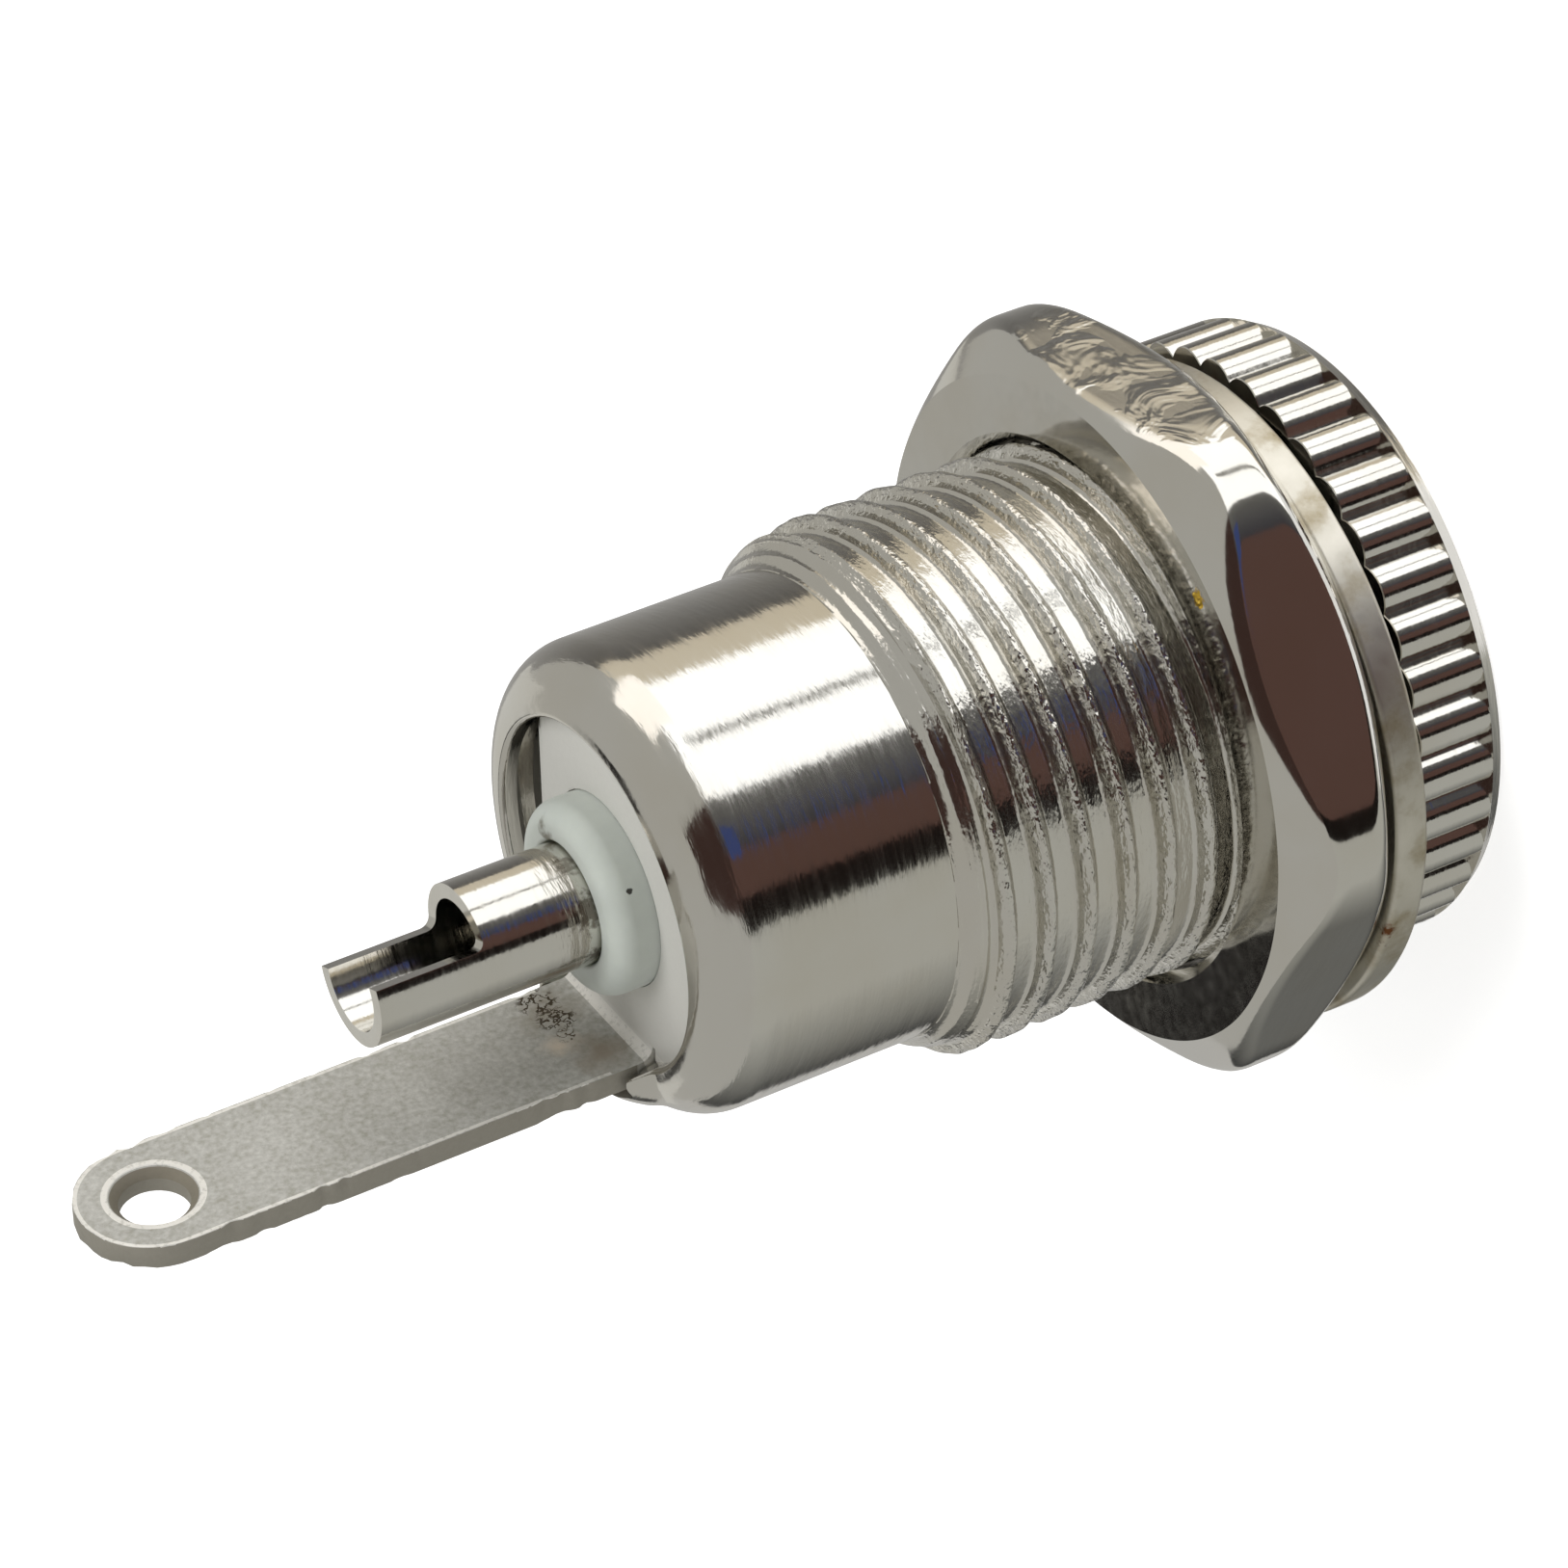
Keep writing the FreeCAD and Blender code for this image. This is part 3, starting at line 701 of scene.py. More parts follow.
def trace(name: str, points: Sequence[Pair], bearing: float = 0.0) -> Piece:
    """Draws a chain of edges and stays in edit mode with all of it selected.

    Args:
        name: the piece's name.
        points: radius and height of each point.
        bearing: angle about the jack's axis at which the chain stands, in degrees.

    Returns:
        The new piece.
    """
    deselect_all()
    bpy.ops.mesh.primitive_plane_add(size=1.0)
    piece = bpy.context.object
    piece.name = name
    piece.data.name = name
    across = Vector((math.cos(math.radians(bearing)), math.sin(math.radians(bearing)), 0.0))
    bpy.ops.object.mode_set(mode="EDIT")
    bpy.ops.mesh.select_mode(type="VERT")
    bpy.ops.mesh.select_all(action="SELECT")
    bpy.ops.mesh.merge(type="CENTER")
    bpy.ops.transform.translate(value=across * points[0][0] + Vector((0.0, 0.0, points[0][1])))
    for before, after in zip(points, points[1:]):
        step = across * (after[0] - before[0]) + Vector((0.0, 0.0, after[1] - before[1]))
        bpy.ops.mesh.extrude_region_move(TRANSFORM_OT_translate={"value": step})
    bpy.ops.mesh.select_all(action="SELECT")
    return piece


def turn(name: str, points: Sequence[Pair], steps: int) -> Piece:
    """Turns a closed outline about the jack's axis.

    Args:
        name: the piece's name.
        points: radius and height of each point, the last one the same as the first.
        steps: how many steps the whole turn has.

    Returns:
        The turned piece.
    """
    piece = trace(name, points)
    bpy.ops.mesh.spin(steps=steps, angle=math.tau, center=ORIGIN, axis=UPWARD)
    close_up()
    return piece


def reshape(piece: Piece, move: Callable[[Vector], Vector]) -> None:
    """Moves every vertex of a piece.

    Args:
        piece: the piece.
        move: gives a vertex's new place from its place.
    """
    for vertex in piece.data.vertices:
        vertex.co = move(vertex.co)
    piece.data.update()


def at_radius(place: Vector, radius: float, height: float) -> Vector:
    """Brings a point to a radius and a height at its own bearing."""
    share = radius / math.hypot(place.x, place.y)
    return Vector((place.x * share, place.y * share, height))


def ease_edges(piece: Piece, width: float, angle: float = 35.0, segments: int = 2) -> None:
    """Rounds a piece's sharp edges, as tumbling and plating leave them.

    Args:
        piece: the piece.
        width: how wide the rounding is.
        angle: the least angle between faces that counts as an edge, in degrees.
        segments: how many faces go round the edge.
    """
    modify(piece, "BEVEL", width=width, segments=segments, limit_method="ANGLE",
           angle_limit=math.radians(angle), harden_normals=False)


def cut_block(piece: Piece, size: Triple, place: Triple, rounding: float, segments: int,
              bearing: float = 0.0) -> None:
    """Cuts a block with eased edges out of a piece.

    Args:
        piece: what is cut.
        size: the block's size.
        place: its middle.
        rounding: how wide its eased edges are.
        segments: how many faces go round them.
        bearing: how far it is turned about the jack's axis, in degrees.
    """
    deselect_all()
    bpy.ops.mesh.primitive_cube_add(size=1.0, location=place)
    block = bpy.context.object
    block.scale = size
    bpy.ops.object.transform_apply(location=True, rotation=True, scale=True)
    ease_edges(block, rounding, segments=segments)
    block.rotation_euler.z = math.radians(bearing)
    bpy.ops.object.transform_apply(location=True, rotation=True, scale=True)
    modify(piece, "BOOLEAN", operation="DIFFERENCE", solver="EXACT", object=block)
    bpy.data.objects.remove(block)


def finish_piece(piece: Piece, body: Body, material: Material, nodes: Sequence[str],
                 scale: float = MM, smooth: float = 35.0) -> None:
    """Brings a piece to metres, dresses it and hangs it on its body.

    Args:
        piece: the piece, in place.
        body: the body that it rides on.
        material: its material.
        nodes: the nodes that it stands for.
        scale: what its units are in metres.
        smooth: the angle past which an edge stays sharp, in degrees.
    """
    select_only(piece)
    bpy.ops.object.shade_smooth_by_angle(angle=math.radians(smooth))
    modify(piece, "WEIGHTED_NORMAL", keep_sharp=True)
    piece.scale = (scale, scale, scale)
    bpy.ops.object.transform_apply(location=True, rotation=True, scale=True)
    piece.data.materials.clear()
    piece.data.materials.append(material)
    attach(piece, body.value)
    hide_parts(*nodes)
    LOG.info("%s: %d faces", piece.name, len(piece.data.polygons))


@dataclass
class Shell:
    """The turned shell: lobed head, threaded barrel and the rear rim rolled over the plate."""

    head_radius: float = 6.45
    head_height: float = 1.95
    head_rows: int = 6
    bevel: float = 0.30
    bevel_in: float = 0.15
    edge_round: float = 0.05
    edge_shares: tuple[float, ...] = (0.2, 0.3, 0.4, 0.6)
    lobe_count: int = 38
    lobe_radius: float = 0.57
    lobe_depth: float = 0.27
    lobe_steps: int = 24
    relief_radius: float = 4.85
    relief_top: float = 2.55
    thread_radius: float = 5.50
    thread_pitch: float = 0.92
    thread_depth: float = 0.34
    flank_rise: float = math.sqrt(3.0)
    crest_width: float = 0.115
    corner_taps: tuple[float, ...] = (-0.036, -0.018, 0.0, 0.018, 0.036)
    entry_slope: float = 4.0
    burr: float = 0.03
    burr_sink: float = 0.5
    burrs_per_mm: Triple = (1.9, 1.9, 4.0)
    groove_start: float = 2.484
    groove_bearing: float = -90.0
    thread_steps: int = 240
    pitch_points: int = 30
    thread_turns: int = 11
    trim_merge: float = 5 * MERGE
    lead_start: float = 10.90
    run_out_start: float = 10.70
    run_out_pitch: float = 0.22
    run_out_depth: float = 0.05
    thread_end: float = 11.60
    barrel_radius: float = 4.83
    rim_round: float = 1.20
    rim_roll: float = 87.0
    rim_top: float = 16.85
    rim_mouth: float = 3.55
    lip_round: float = 0.12
    lip_roll: float = 95.0
    seat_radius: float = 4.10
    seat_bottom: float = 16.00
    seat_top: float = 16.50
    cavity_radius: float = 3.80
    mouth_radius: float = 2.85
    mouth_depth: float = 1.00
    mouth_bevel: float = 0.25
    slot_reach: float = 3.75
    slot_half: float = 1.65
    slot_round: float = 0.12
    lip_start: float = 2.30
    lip_full: float = 1.20
    lip_lift: float = 0.55
    lip_spread: float = 0.22
    barrel_steps: int = 288

    def lobe(self, bearing: float) -> float:
        """Measures the grip's surface.

        Args:
            bearing: the bearing at which it is measured, in radians.

        Returns:
            How far it is from the axis.
        """
        pitch = math.tau / self.lobe_count
        off_middle = (bearing + pitch / 2) % pitch - pitch / 2
        centre = self.head_radius - self.lobe_radius
        reach = self.lobe_radius ** 2 - (centre * math.sin(off_middle)) ** 2
        surface = centre * math.cos(off_middle) + math.sqrt(max(reach, 0.0))
        return max(surface, self.head_radius - self.lobe_depth)

    def flute(self, place: Vector) -> Vector:
        """Presses the lobes into the rim of the head.

        Args:
            place: a vertex's place.

        Returns:
            Its new place.
        """
        radius = math.hypot(place.x, place.y)
        on_side = self.bevel + MERGE <= place.z <= self.head_height
        if radius < self.head_radius - self.bevel or not on_side:
            return place
        lobe = self.lobe(math.atan2(place.y, place.x))
        return at_radius(place, radius - self.head_radius + lobe, place.z)

    def make_head(self) -> Piece:
        """Turns the head with its mouth and relief, and flutes its rim.

        Returns:
            The head.
        """
        face = self.head_radius - self.bevel_in
        back = self.head_height
        nip, tip, inset, drop = [share * self.edge_round for share in self.edge_shares]
        start = self.bevel + nip
        points = [
            (self.mouth_radius + self.mouth_bevel, 0.0),
            (face - self.edge_round, 0.0),
            (face, tip),
            (self.head_radius - inset, self.bevel - drop),
            (self.head_radius, self.bevel),
            *((self.head_radius, start + (back - inset - start) * row / self.head_rows)
              for row in range(self.head_rows + 1)),
            (self.head_radius - inset, back),
            (self.head_radius - self.bevel - self.edge_round, back),
            (self.relief_radius, back),
            (self.relief_radius, self.relief_top),
            (self.cavity_radius, self.relief_top),
            (self.cavity_radius, self.mouth_depth),
            (self.mouth_radius, self.mouth_depth),
            (self.mouth_radius, self.mouth_bevel),
            (self.mouth_radius + self.mouth_bevel, 0.0),
        ]
        head = turn("shell_head", points, self.lobe_count * self.lobe_steps)
        reshape(head, self.flute)
        return head

    def flank(self, off_groove: float) -> float:
        """Measures the thread's surface.

        Args:
            off_groove: how far along the axis it is from the middle of its groove.

        Returns:
            Its radius there.
        """
        root = self.thread_radius - self.thread_depth
        root_half = (self.thread_pitch - self.crest_width) / 2 - self.thread_depth / self.flank_rise
        flank = root + max(0.0, abs(off_groove) - root_half) * self.flank_rise
        return min(self.thread_radius, flank)

    def thread_profile(self) -> list[Pair]:
        """Draws one pitch of the thread, groove to groove, its corners rounded by averaging.

        Returns:
            The points, each a radius and a height.
        """
        points = []
        for place in range(self.pitch_points + 1):
            along = self.thread_pitch * place / self.pitch_points
            to_groove = [min((along + tap) % self.thread_pitch, -(along + tap) % self.thread_pitch)
                         for tap in self.corner_taps]
            radius = sum(self.flank(distance) for distance in to_groove) / len(self.corner_taps)
            points.append((radius, self.groove_start - self.thread_pitch + along))
        return points

    def trim_thread(self, place: Vector) -> Vector:
        """Holds the endless thread to the barrel's length, with its lead at the rear end.

        Args:
            place: a vertex's place.

        Returns:
            Its new place.
        """
        radius = math.hypot(place.x, place.y)
        height = min(max(place.z, self.relief_top), self.thread_end)
        lead_share = (height - self.lead_start) / (self.thread_end - self.lead_start)
        taper = max(0.0, lead_share) * (self.thread_radius - self.barrel_radius)
        lead = self.thread_radius - taper
        entry = self.relief_radius + (height - self.relief_top) * self.entry_slope
        cells = Vector([along * count for along, count in zip(place, self.burrs_per_mm)])
        burr = self.burr * (noise.noise(cells) - self.burr_sink)
        root = self.thread_radius - self.thread_depth
        share = max(0.0, radius - root) / self.thread_depth
        run_out = (height - self.run_out_start) / self.run_out_pitch
        held = min(radius + burr * share, lead, entry)
        if run_out > 0.0 and height < self.thread_end - MERGE:
            score = self.run_out_depth * abs(math.sin(math.pi * run_out))
            held = max(min(held, lead) - score, self.barrel_radius)
        return at_radius(place, held, height)

    def make_thread(self) -> Piece:
        """Sweeps the thread up the barrel and closes it with the wall inside.

        Returns:
            The threaded part of the barrel.
        """
        thread = trace("shell_thread", self.thread_profile(), self.groove_bearing)
        bpy.ops.object.mode_set(mode="OBJECT")
        modify(thread, "SCREW", angle=math.tau, screw_offset=self.thread_pitch,
               iterations=self.thread_turns, steps=self.thread_steps,
               render_steps=self.thread_steps, use_merge_vertices=True, merge_threshold=MERGE)
        reshape(thread, self.trim_thread)
        bpy.ops.object.mode_set(mode="EDIT")
        bpy.ops.mesh.select_all(action="SELECT")
        bpy.ops.mesh.remove_doubles(threshold=self.trim_merge)
        bpy.ops.mesh.dissolve_degenerate(threshold=MERGE)
        select_open_edges()
        inward = self.cavity_radius / self.barrel_radius
        bpy.ops.mesh.extrude_region_move()
        bpy.ops.transform.resize(value=(inward, inward, 1.0), center_override=ORIGIN)
        bpy.ops.mesh.bridge_edge_loops()
        close_up()
        return thread

    def raise_lip(self, place: Vector) -> Vector:
        """Stands the rim up behind the lug, where it couldn't be rolled in.

        Args:
            place: a vertex's place.

        Returns:
            Its new place.
        """
        radius = math.hypot(place.x, place.y)
        below = place.z < self.seat_top + MERGE
        if place.x < 0.0 or below or abs(place.y) > self.lip_start:
            return place
        aside = min((self.lip_start - abs(place.y)) / (self.lip_start - self.lip_full), 1.0)
        inward = (self.barrel_radius - radius) / (self.barrel_radius - self.slot_reach)
        share = aside * aside * (3.0 - 2.0 * aside) * min(max(inward, 0.0), 1.0)
        return at_radius(place, radius + self.lip_spread * share, place.z + self.lip_lift * share)

    def make_rear(self) -> Piece:
        """Turns the plain barrel with its rolled rim and opens the lip where the lug leaves.

        Returns:
            The rear part of the shell.
        """
        rim_centre = (self.barrel_radius - self.rim_round, self.rim_top - self.rim_round)
        lip_centre = (self.rim_mouth + self.lip_round, self.rim_top - self.lip_round)
        points = [
            (self.barrel_radius, self.thread_end),
            *arc(rim_centre, self.rim_round, 0.0, self.rim_roll, steps=18),
            *arc(lip_centre, self.lip_round, self.lip_roll, 180.0, steps=5),
            (self.rim_mouth, self.seat_top),
            (self.seat_radius, self.seat_top),
            (self.seat_radius, self.seat_bottom),
            (self.cavity_radius, self.seat_bottom),
            (self.cavity_radius, self.thread_end),
            (self.barrel_radius, self.thread_end),
        ]
        rear = turn("shell_rear", points, self.barrel_steps)
        depth = 2 * (self.rim_top - self.seat_top) - MERGE
        cut_block(rear, (self.slot_reach, 2 * self.slot_half, depth),
                  (self.slot_reach / 2, 0.0, self.rim_top), self.slot_round, segments=3)
        reshape(rear, self.raise_lip)
        return rear

    def build(self, plating: Material, thread_plating: Material) -> None:
        """Builds the shell's three pieces.

        Args:
            plating: the finish of the head and the plain barrel.
            thread_plating: the finish of the thread, rougher from its cutting.
        """
        finish_piece(self.make_head(), Body.JACK, plating, ["shell"], smooth=28.0)
        finish_piece(self.make_thread(), Body.JACK, thread_plating, ["shell"],
                     smooth=60.0)
        finish_piece(self.make_rear(), Body.JACK, plating, ["shell"])


@dataclass
class HexNut:
    """The nut: hexagonal bar with both faces turned to a bevel that meets the corners."""

    flats_half: float = 7.20
    corner_radius: float = 7.92
    face_radius: float = 6.97
    bevel_drop: float = 0.665
    bottom: float = 3.17
    thickness: float = 2.55
    corner_bearing: float = 34.90
    bore: float = 5.55
    countersink: float = 0.22
    edge_round: float = 0.34
    rows: int = 44
    steps: int = 432

    def hexagon(self, bearing: float) -> float:
        """Returns how far the bar's flat is from the axis at a bearing, in radians."""
        off_flat = (bearing - math.radians(self.corner_bearing)) % (math.pi / 3) - math.pi / 6
        return self.flats_half / math.cos(off_flat)

    def blend(self, one: float, other: float) -> float:
        """Returns the smaller of two radii, eased into the other where they are close."""
        near = max(self.edge_round - abs(one - other), 0.0) / self.edge_round
        return min(one, other) - near * near * self.edge_round / 4

    def press(self, place: Vector) -> Vector:
        """Gives a point of the blank's side its place on the flats, the bevels or the corners.

        Args:
            place: a vertex's place.

        Returns:
            Its new place.
        """
        if math.hypot(place.x, place.y) < self.corner_radius - MERGE:
            return place
        off_face = min(place.z - self.bottom, self.bottom + self.thickness - place.z)
        slope = (self.corner_radius - self.face_radius) / self.bevel_drop
        flat = self.hexagon(math.atan2(place.y, place.x))
        side = self.blend(self.face_radius + off_face * slope, flat)
        return at_radius(place, self.blend(side, self.corner_radius), place.z)

    def make(self) -> Piece:
        """Turns the blank and presses its flats and bevels, with edges eased by the tumbling.

        Returns:
            The nut.
        """
        top = self.bottom + self.thickness
        nut = turn("nut_body", [
            (self.bore + self.countersink, self.bottom),
            *((self.corner_radius, self.bottom + self.thickness * row / self.rows)
              for row in range(self.rows + 1)),
            (self.bore + self.countersink, top),
            (self.bore, top - self.countersink),
            (self.bore, self.bottom + self.countersink),
            (self.bore + self.countersink, self.bottom),
        ], self.steps)
        reshape(nut, self.press)
        return nut

    def build(self, plating: Material) -> None:
        """Builds the nut in a plating."""
        finish_piece(self.make(), Body.NUT, plating, ["hex_nut"], smooth=25.0)


@dataclass
class SpringWasher:
    """The split washer: square wire wound left-handed, its two ends one above the other."""

    inner: float = 6.15
    width: float = 0.68
    thickness: float = 0.75
    corner_round: float = 0.12
    rise: float = 0.42
    turns: float = 0.97
    bottom: float = 1.97
    shift: Pair = (0.48, 0.31)
    steps: int = 220

    def wind(self, place: Vector) -> Vector:
        """Lifts a point of the flat ring onto the coil and hangs it off centre.

        Args:
            place: a vertex's place.

        Returns:
            Its new place.
        """
        run = (-math.atan2(place.y, place.x)) % math.tau
        if run > math.tau * (1 + self.turns) / 2:
            run -= math.tau
        lift = self.rise * run / (math.tau * self.turns)
        return Vector((place.x + self.shift[0], place.y + self.shift[1], place.z + lift))

    def make(self) -> Piece:
        """Spins the wire's section, closes its ends and winds it.

        Returns:
            The washer.
        """
        ease = self.corner_round
        low, high = self.bottom + ease, self.bottom + self.thickness - ease
        near, far = self.inner + ease, self.inner + self.width - ease
        section = []
        for quarter, centre in enumerate(((far, low), (far, high), (near, high), (near, low))):
            start = 90.0 * (quarter - 1)
            section += arc(centre, ease, start, start + 90.0, steps=4)
        washer = trace("washer_coil", [*section, section[0]])
        bpy.ops.mesh.remove_doubles(threshold=MERGE)
        bpy.ops.mesh.spin(steps=self.steps, angle=-math.tau * self.turns, center=ORIGIN,
                          axis=UPWARD)
        select_open_edges()
        bpy.ops.mesh.edge_face_add()
        close_up()
        reshape(washer, self.wind)
        return washer

    def build(self, steel: Material) -> None:
        """Builds the washer in spring steel."""
        finish_piece(self.make(), Body.WASHER, steel, ["spring_washer"])


@dataclass
class InsulatorBush:
    """The nylon bush: a flange inside the plate and a round-edged boss outside it."""

    bore: float = 1.26
    flange_radius: float = 2.30
    flange_bottom: float = 13.20
    boss_radius: float = 2.00
    seat: float = 16.00
    boss_end: float = 17.40
    boss_round: float = 0.45
    bore_round: float = 0.10
    steps: int = 160

    def make(self) -> Piece:
        """Turns the bush.

        Returns:
            The bush.
        """
        edge = (self.boss_radius - self.boss_round, self.boss_end - self.boss_round)
        lip = (self.bore + self.bore_round, self.boss_end - self.bore_round)
        return turn("bush_moulding", [
            (self.bore, self.flange_bottom),
            (self.flange_radius, self.flange_bottom),
            (self.flange_radius, self.seat),
            (self.boss_radius, self.seat),
            *arc(edge, self.boss_round, 0.0, 90.0, steps=10),
            *arc(lip, self.bore_round, 90.0, 180.0, steps=4),
            (self.bore, self.flange_bottom),
        ], self.steps)

    def build(self, nylon: Material) -> None:
        """Builds the bush in nylon."""
        finish_piece(self.make(), Body.JACK, nylon, ["insulator_bush"])


@dataclass
class CentreContact:
    """The centre contact: the socket's pin, and behind the bush a tube cut down to a cup."""

    pin_radius: float = 1.05
    pin_tip: float = 1.20
    tip_round: float = 0.40
    stem_bottom: float = 13.00
    stem_radius: float = 1.24
    cup_bore: float = 0.93
    cup_floor: float = 17.80
    cup_step: float = 19.75
    cup_end: float = 22.10
    cut_height: float = 0.15
    cut_reach: float = 2.0
    step_round: float = 0.22
    cut_bearing: float = 202.0
    edge_round: float = 0.05
    edge_angle: float = 40.0
    steps: int = 128

    def make(self) -> Piece:
        """Turns the contact and mills the open side of its cup.

        Returns:
            The contact.
        """
        tip = (self.pin_radius - self.tip_round, self.pin_tip + self.tip_round)
        contact = turn("contact_turning", [
            (0.0, self.pin_tip),
            *arc(tip, self.tip_round, -90.0, 0.0, steps=8),
            (self.pin_radius, self.stem_bottom),
            (self.stem_radius, self.stem_bottom),
            (self.stem_radius, self.cup_end),
            (self.cup_bore, self.cup_end),
            (self.cup_bore, self.cup_floor),
            (0.0, self.cup_floor),
        ], self.steps)
        reach = self.cut_reach
        cut_block(contact, (reach, 2 * reach, 2 * reach),
                  (self.cut_height + reach / 2, 0.0, self.cup_step + reach),
                  self.step_round, segments=5, bearing=self.cut_bearing)
        ease_edges(contact, self.edge_round, self.edge_angle)
        return contact

    def build(self, plating: Material) -> None:
        """Builds the contact in a plating."""
        finish_piece(self.make(), Body.JACK, plating, ["centre_contact"])


@dataclass
class GroundContact:
    """The stamped contact: plate, solder lug and leaf, with edges as the punch leaves them."""

    edge_round: float = 0.05
    flat_angle: float = 0.5
    edge_angle: float = 30.0
    lug_start: float = 17.30
    lug_foot: float = 16.30
    eye_height: float = 26.50
    eye_clear: float = 1.10
    long_edge: float = 0.40
    edge_cuts: int = 100
    nibble: float = 0.12
    nibble_mm: float = 0.14
    waves_per_mm: float = 0.9
    wave_share: float = 0.5

    def gnaw(self, place: Vector) -> Vector:
        """Moves a point of the lug's outline in a little, as a worn punch leaves the edge.

        Args:
            place: a vertex's place, in metres.

        Returns:
            Its new place.
        """
        inward = Vector((0.0, place.y, max(0.0, place.z - self.eye_height * MM)))
        if place.z < self.lug_start * MM or inward.length < self.eye_clear * MM:
            return place
        bite = noise.noise(place * (PER_MM / self.nibble_mm / 2))
        bite += self.wave_share * noise.noise(place * self.waves_per_mm * PER_MM)
        return place - inward.normalized() * (self.nibble * MM * max(0.0, bite))

    def nick_edges(self, stamping: Piece) -> None:
        """Divides the lug's long edges and nibbles them.

        Args:
            stamping: the stamping, in metres.
        """
        bpy.ops.mesh.select_mode(type="EDGE")
        bpy.ops.mesh.select_all(action="DESELECT")
        bpy.ops.object.mode_set(mode="OBJECT")
        corners = stamping.data.vertices
        for edge in stamping.data.edges:
            ends = [corners[corner].co for corner in edge.vertices]
            edge.select = (min(end.z for end in ends) > self.lug_foot * MM
                           and (ends[0] - ends[1]).length > self.long_edge * MM
                           and abs(ends[0].z - ends[1].z) > self.long_edge * MM)
        bpy.ops.object.mode_set(mode="EDIT")
        bpy.ops.mesh.subdivide(number_cuts=self.edge_cuts)
        bpy.ops.object.mode_set(mode="OBJECT")
        reshape(stamping, self.gnaw)

    def make(self) -> Piece:
        """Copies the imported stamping, merges it and eases its edges.

        Returns:
            The stamping, in metres.
        """
        source = frame["nodes"]["ground_contact"]
        stamping = source.copy()
        stamping.data = source.data.copy()
        stamping.name = "lug_stamping"
        stamping.data.name = "lug_stamping"
        stamping.parent = None
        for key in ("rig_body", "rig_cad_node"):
            del stamping[key]
        bpy.context.scene.collection.objects.link(stamping)
        select_only(stamping)
        bpy.ops.object.mode_set(mode="EDIT")
        bpy.ops.mesh.select_all(action="SELECT")
        bpy.ops.mesh.remove_doubles(threshold=MERGE * MM)
        bpy.ops.mesh.customdata_custom_splitnormals_clear()
        bpy.ops.mesh.dissolve_limited(angle_limit=math.radians(self.flat_angle))
        self.nick_edges(stamping)
        ease_edges(stamping, self.edge_round * MM, self.edge_angle)
        return stamping

    def build(self, strip: Material) -> None:
        """Builds the stamping in plated strip."""
        finish_piece(self.make(), Body.JACK, strip, ["ground_contact"], scale=1.0)


@dataclass(frozen=True)
class Card:
    """A glowing sheet bent about the jack, which only the plating mirrors, in one tone or two: a
    painted reflection.
    """

    name: str
    bearings: Pair
    elevations: Pair
    colour: str
    far_colour: str | None = None
    strength: float = 1.0
    distance: float = 2500.0
    slope: float = 0.0
    squares: tuple[int, int] = (48, 24)

    def bend(self, place: Vector) -> Vector:
        """Bends a point of the flat sheet onto its part of the sphere.

        Args:
            place: a vertex's place.

        Returns:
            Its new place.
        """
        bearing, elevation = [ends[0] + (ends[1] - ends[0]) * (along + 0.5)
                              for ends, along in zip((self.bearings, self.elevations), place)]
        elevation += self.slope * (bearing - sum(self.bearings) / 2)
        aside, up = math.radians(bearing), math.radians(elevation)
        level = self.distance * MM * math.cos(up)
        return Vector((level * math.cos(aside), level * math.sin(aside),
                       self.distance * MM * math.sin(up)))

    def build(self) -> None:
        """Hangs the card, in one tone or fading to the second along its bearings."""
        deselect_all()
        bpy.ops.mesh.primitive_grid_add(x_subdivisions=self.squares[0],
                                        y_subdivisions=self.squares[1], size=1.0)
        card = bpy.context.object
        card.name = self.name
        reshape(card, self.bend)
        material = bpy.data.materials.new(self.name + "_paper")
        nodes = Nodes(material)
        nodes.tree.nodes.remove(nodes.tree.nodes["Principled BSDF"])
        colour = self.colour
        if self.far_colour:
            bearing = nodes.compute("ARCTAN2", nodes.axes["Y"], nodes.axes["X"])
            near, far = [math.radians(end) for end in self.bearings]
            colour = nodes.mix(nodes.rescale(bearing, (near, far)), colour, self.far_colour)
        # The glow paints the plating's reflections and lights nothing else
        glow = nodes.add("Emission", {"Color": colour, "Strength": self.strength})
        nodes.feed("Material Output", {"Surface": glow["Emission"]})
        material.cycles.emission_sampling = "NONE"
        card.data.materials.append(material)
        card.visible_camera = False
        card.visible_diffuse = False
        card.visible_shadow = False
        card.visible_transmission = False


@dataclass(frozen=True)
class Lamp:
    """A soft square lamp aimed at the jack, in millimetres and watts."""

    name: str
    place: Triple
    size: float
    power: float

    def build(self) -> None:
        """Hangs the lamp, out of sight of the plating."""
        data = bpy.data.lights.new(self.name, "AREA")
        data.size = self.size * MM
        data.energy = self.power
        lamp = bpy.data.objects.new(self.name, data)
        lamp.location = Vector(self.place) * MM
        lamp.rotation_euler = (-Vector(self.place)).to_track_quat("-Z", "Y").to_euler()
        lamp.visible_glossy = False
        bpy.context.scene.collection.objects.link(lamp)


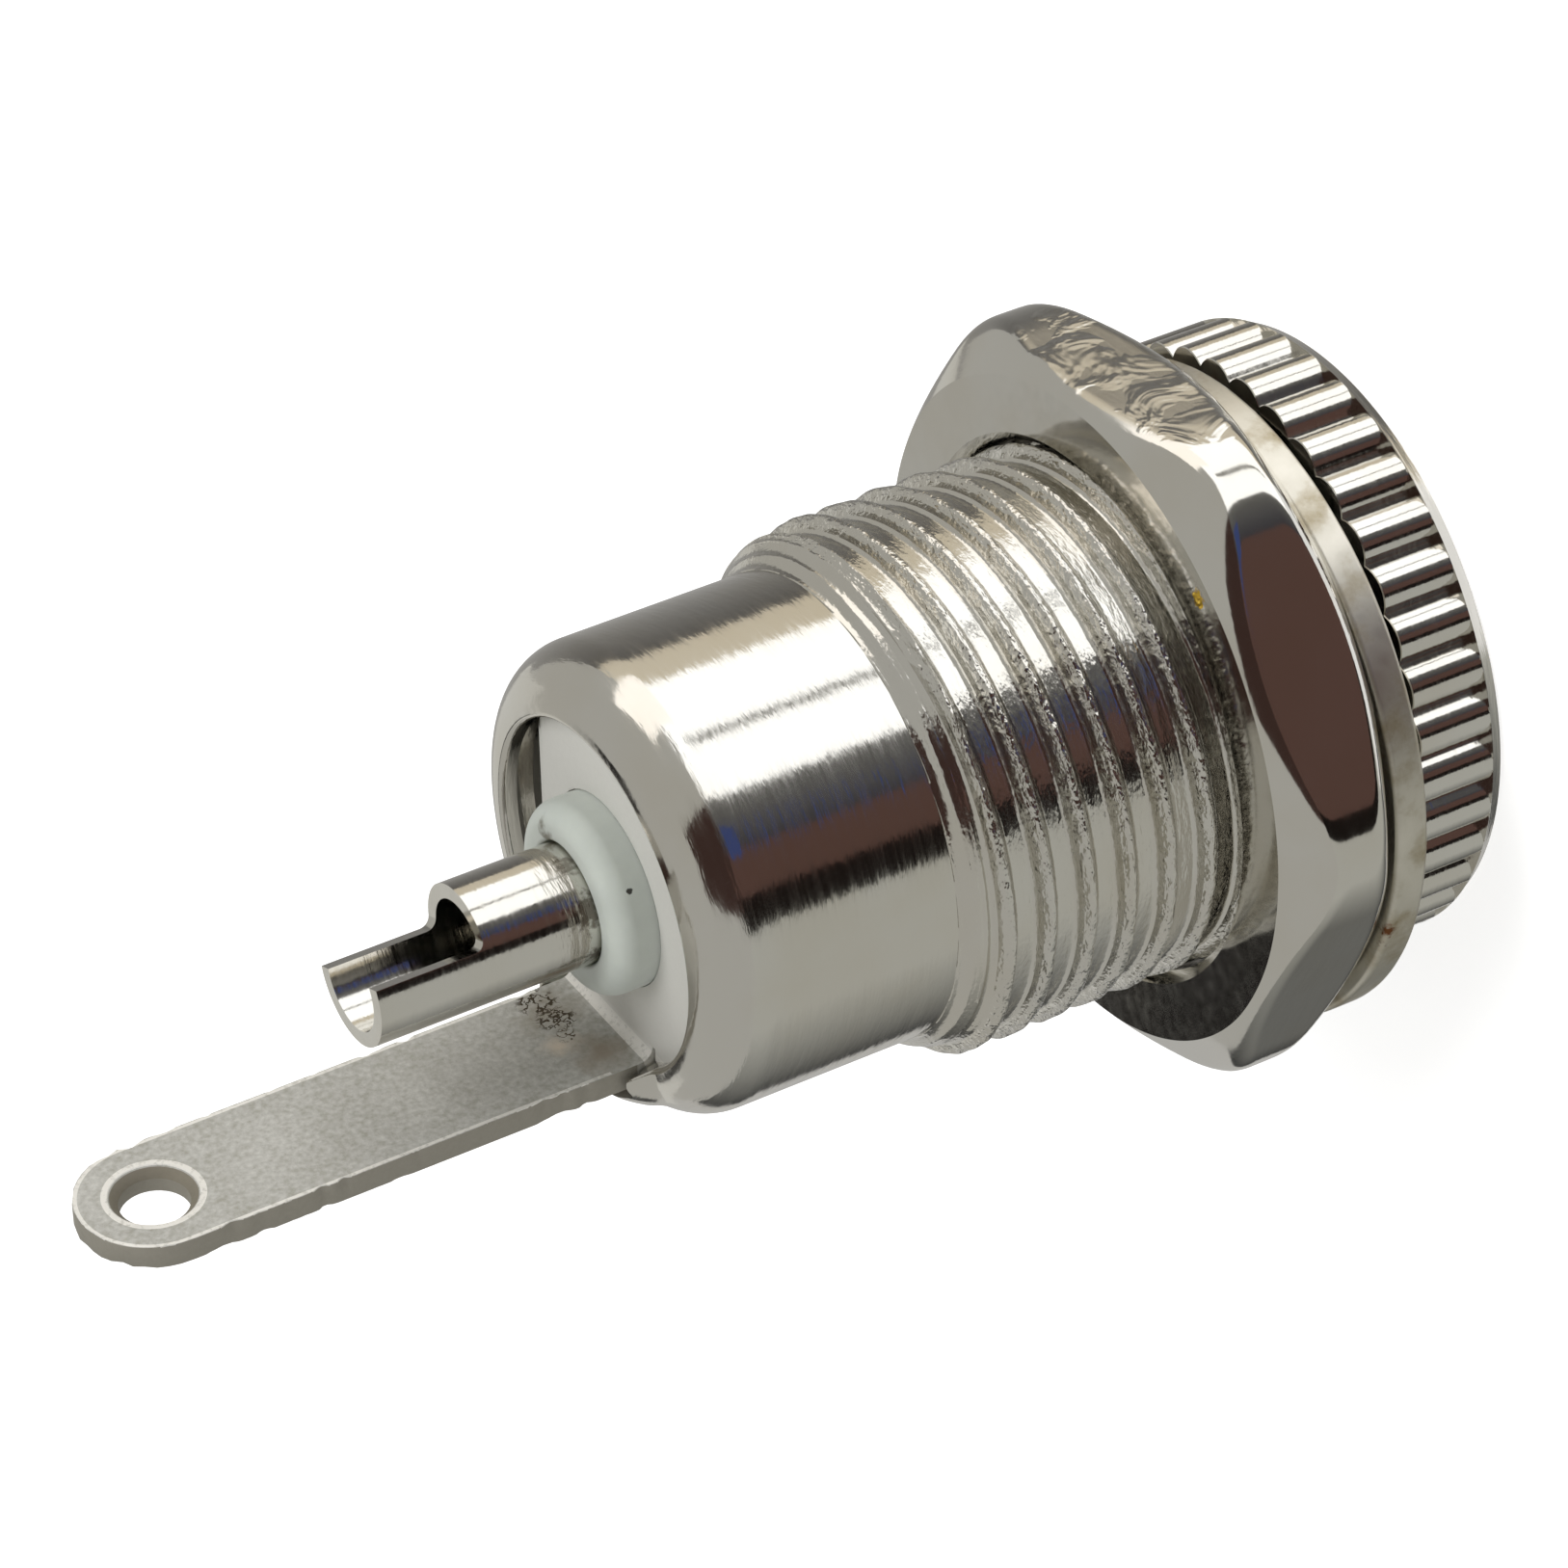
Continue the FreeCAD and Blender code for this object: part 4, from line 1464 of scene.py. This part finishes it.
# Glowing sheets that paint the plating's reflections: a grey room with a dark camera side, a lit
# table on its left and a shelf across the far wall
CARDS = (
    Card("ceiling", (-180.0, 180.0), (8.0, 90.0), "B6B5B0", distance=3000.0),
    Card("side_wall", (40.0, 90.0), (-75.0, 8.0), "B8B8B2"),
    Card("side_shade", (-20.0, 40.0), (-75.0, 8.0), "3C3C3C", "B8B8B2"),
    Card("far_wall", (-120.0, -20.0), (-75.0, 8.0), "605E5C", "C4C3C0"),
    Card("warm_sheet", (-141.0, -120.0), (-75.0, 8.0), "DDD3BF"),
    Card("light_box", (152.0, 219.0), (-75.0, 6.0), WHITE, strength=1.6),
    Card("side_box", (192.0, 225.0), (-14.0, 32.0), "FFFAF4", strength=1.5, distance=2400.0),
    Card("lamp_bar", (180.0, 184.0), (-60.0, -14.0), "8E8D88", distance=2400.0),
    Card("camera_side", (127.0, 152.0), (-75.0, 12.0), "403F44", "6C6B68"),
    Card("brown_card", (106.0, 127.0), (-75.0, 12.0), "5C4640"),
    Card("dark_gap", (90.0, 106.0), (-75.0, 12.0), "1C1816"),
    Card("blue_card", (124.0, 139.0), (-19.5, 4.0), "404C7C", distance=2300.0),
    Card("camera_back", (98.0, 150.0), (10.0, 64.0), "40302C", distance=2400.0),
    Card("far_light", (-75.0, -30.0), (-2.0, 24.0), "D0CFCA", distance=2450.0),
    Card("shelf", (-58.0, -38.0), (26.2, 35.0), "1E1C1B", distance=2400.0, slope=-0.9),
)
LAMPS = (
    Lamp("key_light", (-200.0, -40.0, 260.0), 200.0, 0.75),
    Lamp("fill_light", (120.0, 220.0, 200.0), 260.0, 0.3),
)


@dataclass
class Studio:
    """Pale floor, soft light, the cards that the plating mirrors, and the camera."""

    camera_place: Triple = (-79.46, 89.84, 65.35)
    camera_right: Triple = (0.0159, 0.5171, -0.8558)
    camera_up: Triple = (-0.7984, -0.5086, -0.3222)
    camera_ahead: Triple = (0.6019, -0.6884, -0.4047)
    camera_clip: Pair = (0.01, 10.0)
    lens_mm: float = 154.9
    sensor_mm: float = 36.0
    floor_size: float = 1200.0
    floor_colour: str = "E8E8E6"
    floor_roughness: float = 0.9
    floor_lift: float = 0.60
    world_strength: float = 0.34

    def add_camera(self) -> None:
        """Adds the camera at the photograph's viewing angle."""
        data = bpy.data.cameras.new("camera")
        data.lens = self.lens_mm
        data.sensor_width = self.sensor_mm
        data.clip_start, data.clip_end = self.camera_clip
        camera = bpy.data.objects.new("camera", data)
        axes = [Vector(self.camera_right), Vector(self.camera_up), -Vector(self.camera_ahead)]
        turned = Matrix([axis.normalized() for axis in axes]).transposed()
        camera.matrix_world = Matrix.Translation(Vector(self.camera_place) * MM) @ turned.to_4x4()
        bpy.context.scene.collection.objects.link(camera)
        bpy.context.scene.camera = camera

    def add_floor(self) -> None:
        """Adds the floor: pale, white to the camera where no shadow falls."""
        deselect_all()
        bpy.ops.mesh.primitive_plane_add(size=self.floor_size * MM)
        floor = bpy.context.object
        floor.name = "floor"
        material = bpy.data.materials.new("pale_floor_paper")
        nodes = Nodes(material)
        nodes.feed("Principled BSDF", {
            "Base Color": self.floor_colour, "Roughness": self.floor_roughness,
            "Emission Color": WHITE,
            "Emission Strength": nodes.compute("MULTIPLY", nodes.seen(), self.floor_lift)})
        floor.data.materials.append(material)
        floor.visible_glossy = False

    def add_world(self) -> None:
        """Adds the soft world light, white where it is looked at or mirrored."""
        world = bpy.data.worlds.new("soft_light")
        bpy.context.scene.world = world
        nodes = Nodes(world)
        strength = nodes.rescale(nodes.seen(), UNIT_RANGE, (self.world_strength, 1.0))
        nodes.feed("Background", {"Color": WHITE, "Strength": strength})

    def build(self) -> None:
        """Builds the studio."""
        self.add_camera()
        self.add_floor()
        self.add_world()
        for fitting in (*CARDS, *LAMPS):
            fitting.build()
        LOG.info("studio built")


def main() -> None:
    """Builds the jack and its studio."""
    bpy.context.scene.view_settings.view_transform = "Standard"
    Studio().build()
    Shell().build(TURNED.build(), THREAD.build())
    HexNut().build(HEX_BAR.build())
    SpringWasher().build(WIRE.build())
    InsulatorBush().build(NYLON.build())
    CentreContact().build(TUBE.build())
    GroundContact().build(STRIP.build())


if __name__ == "__main__":
    main()
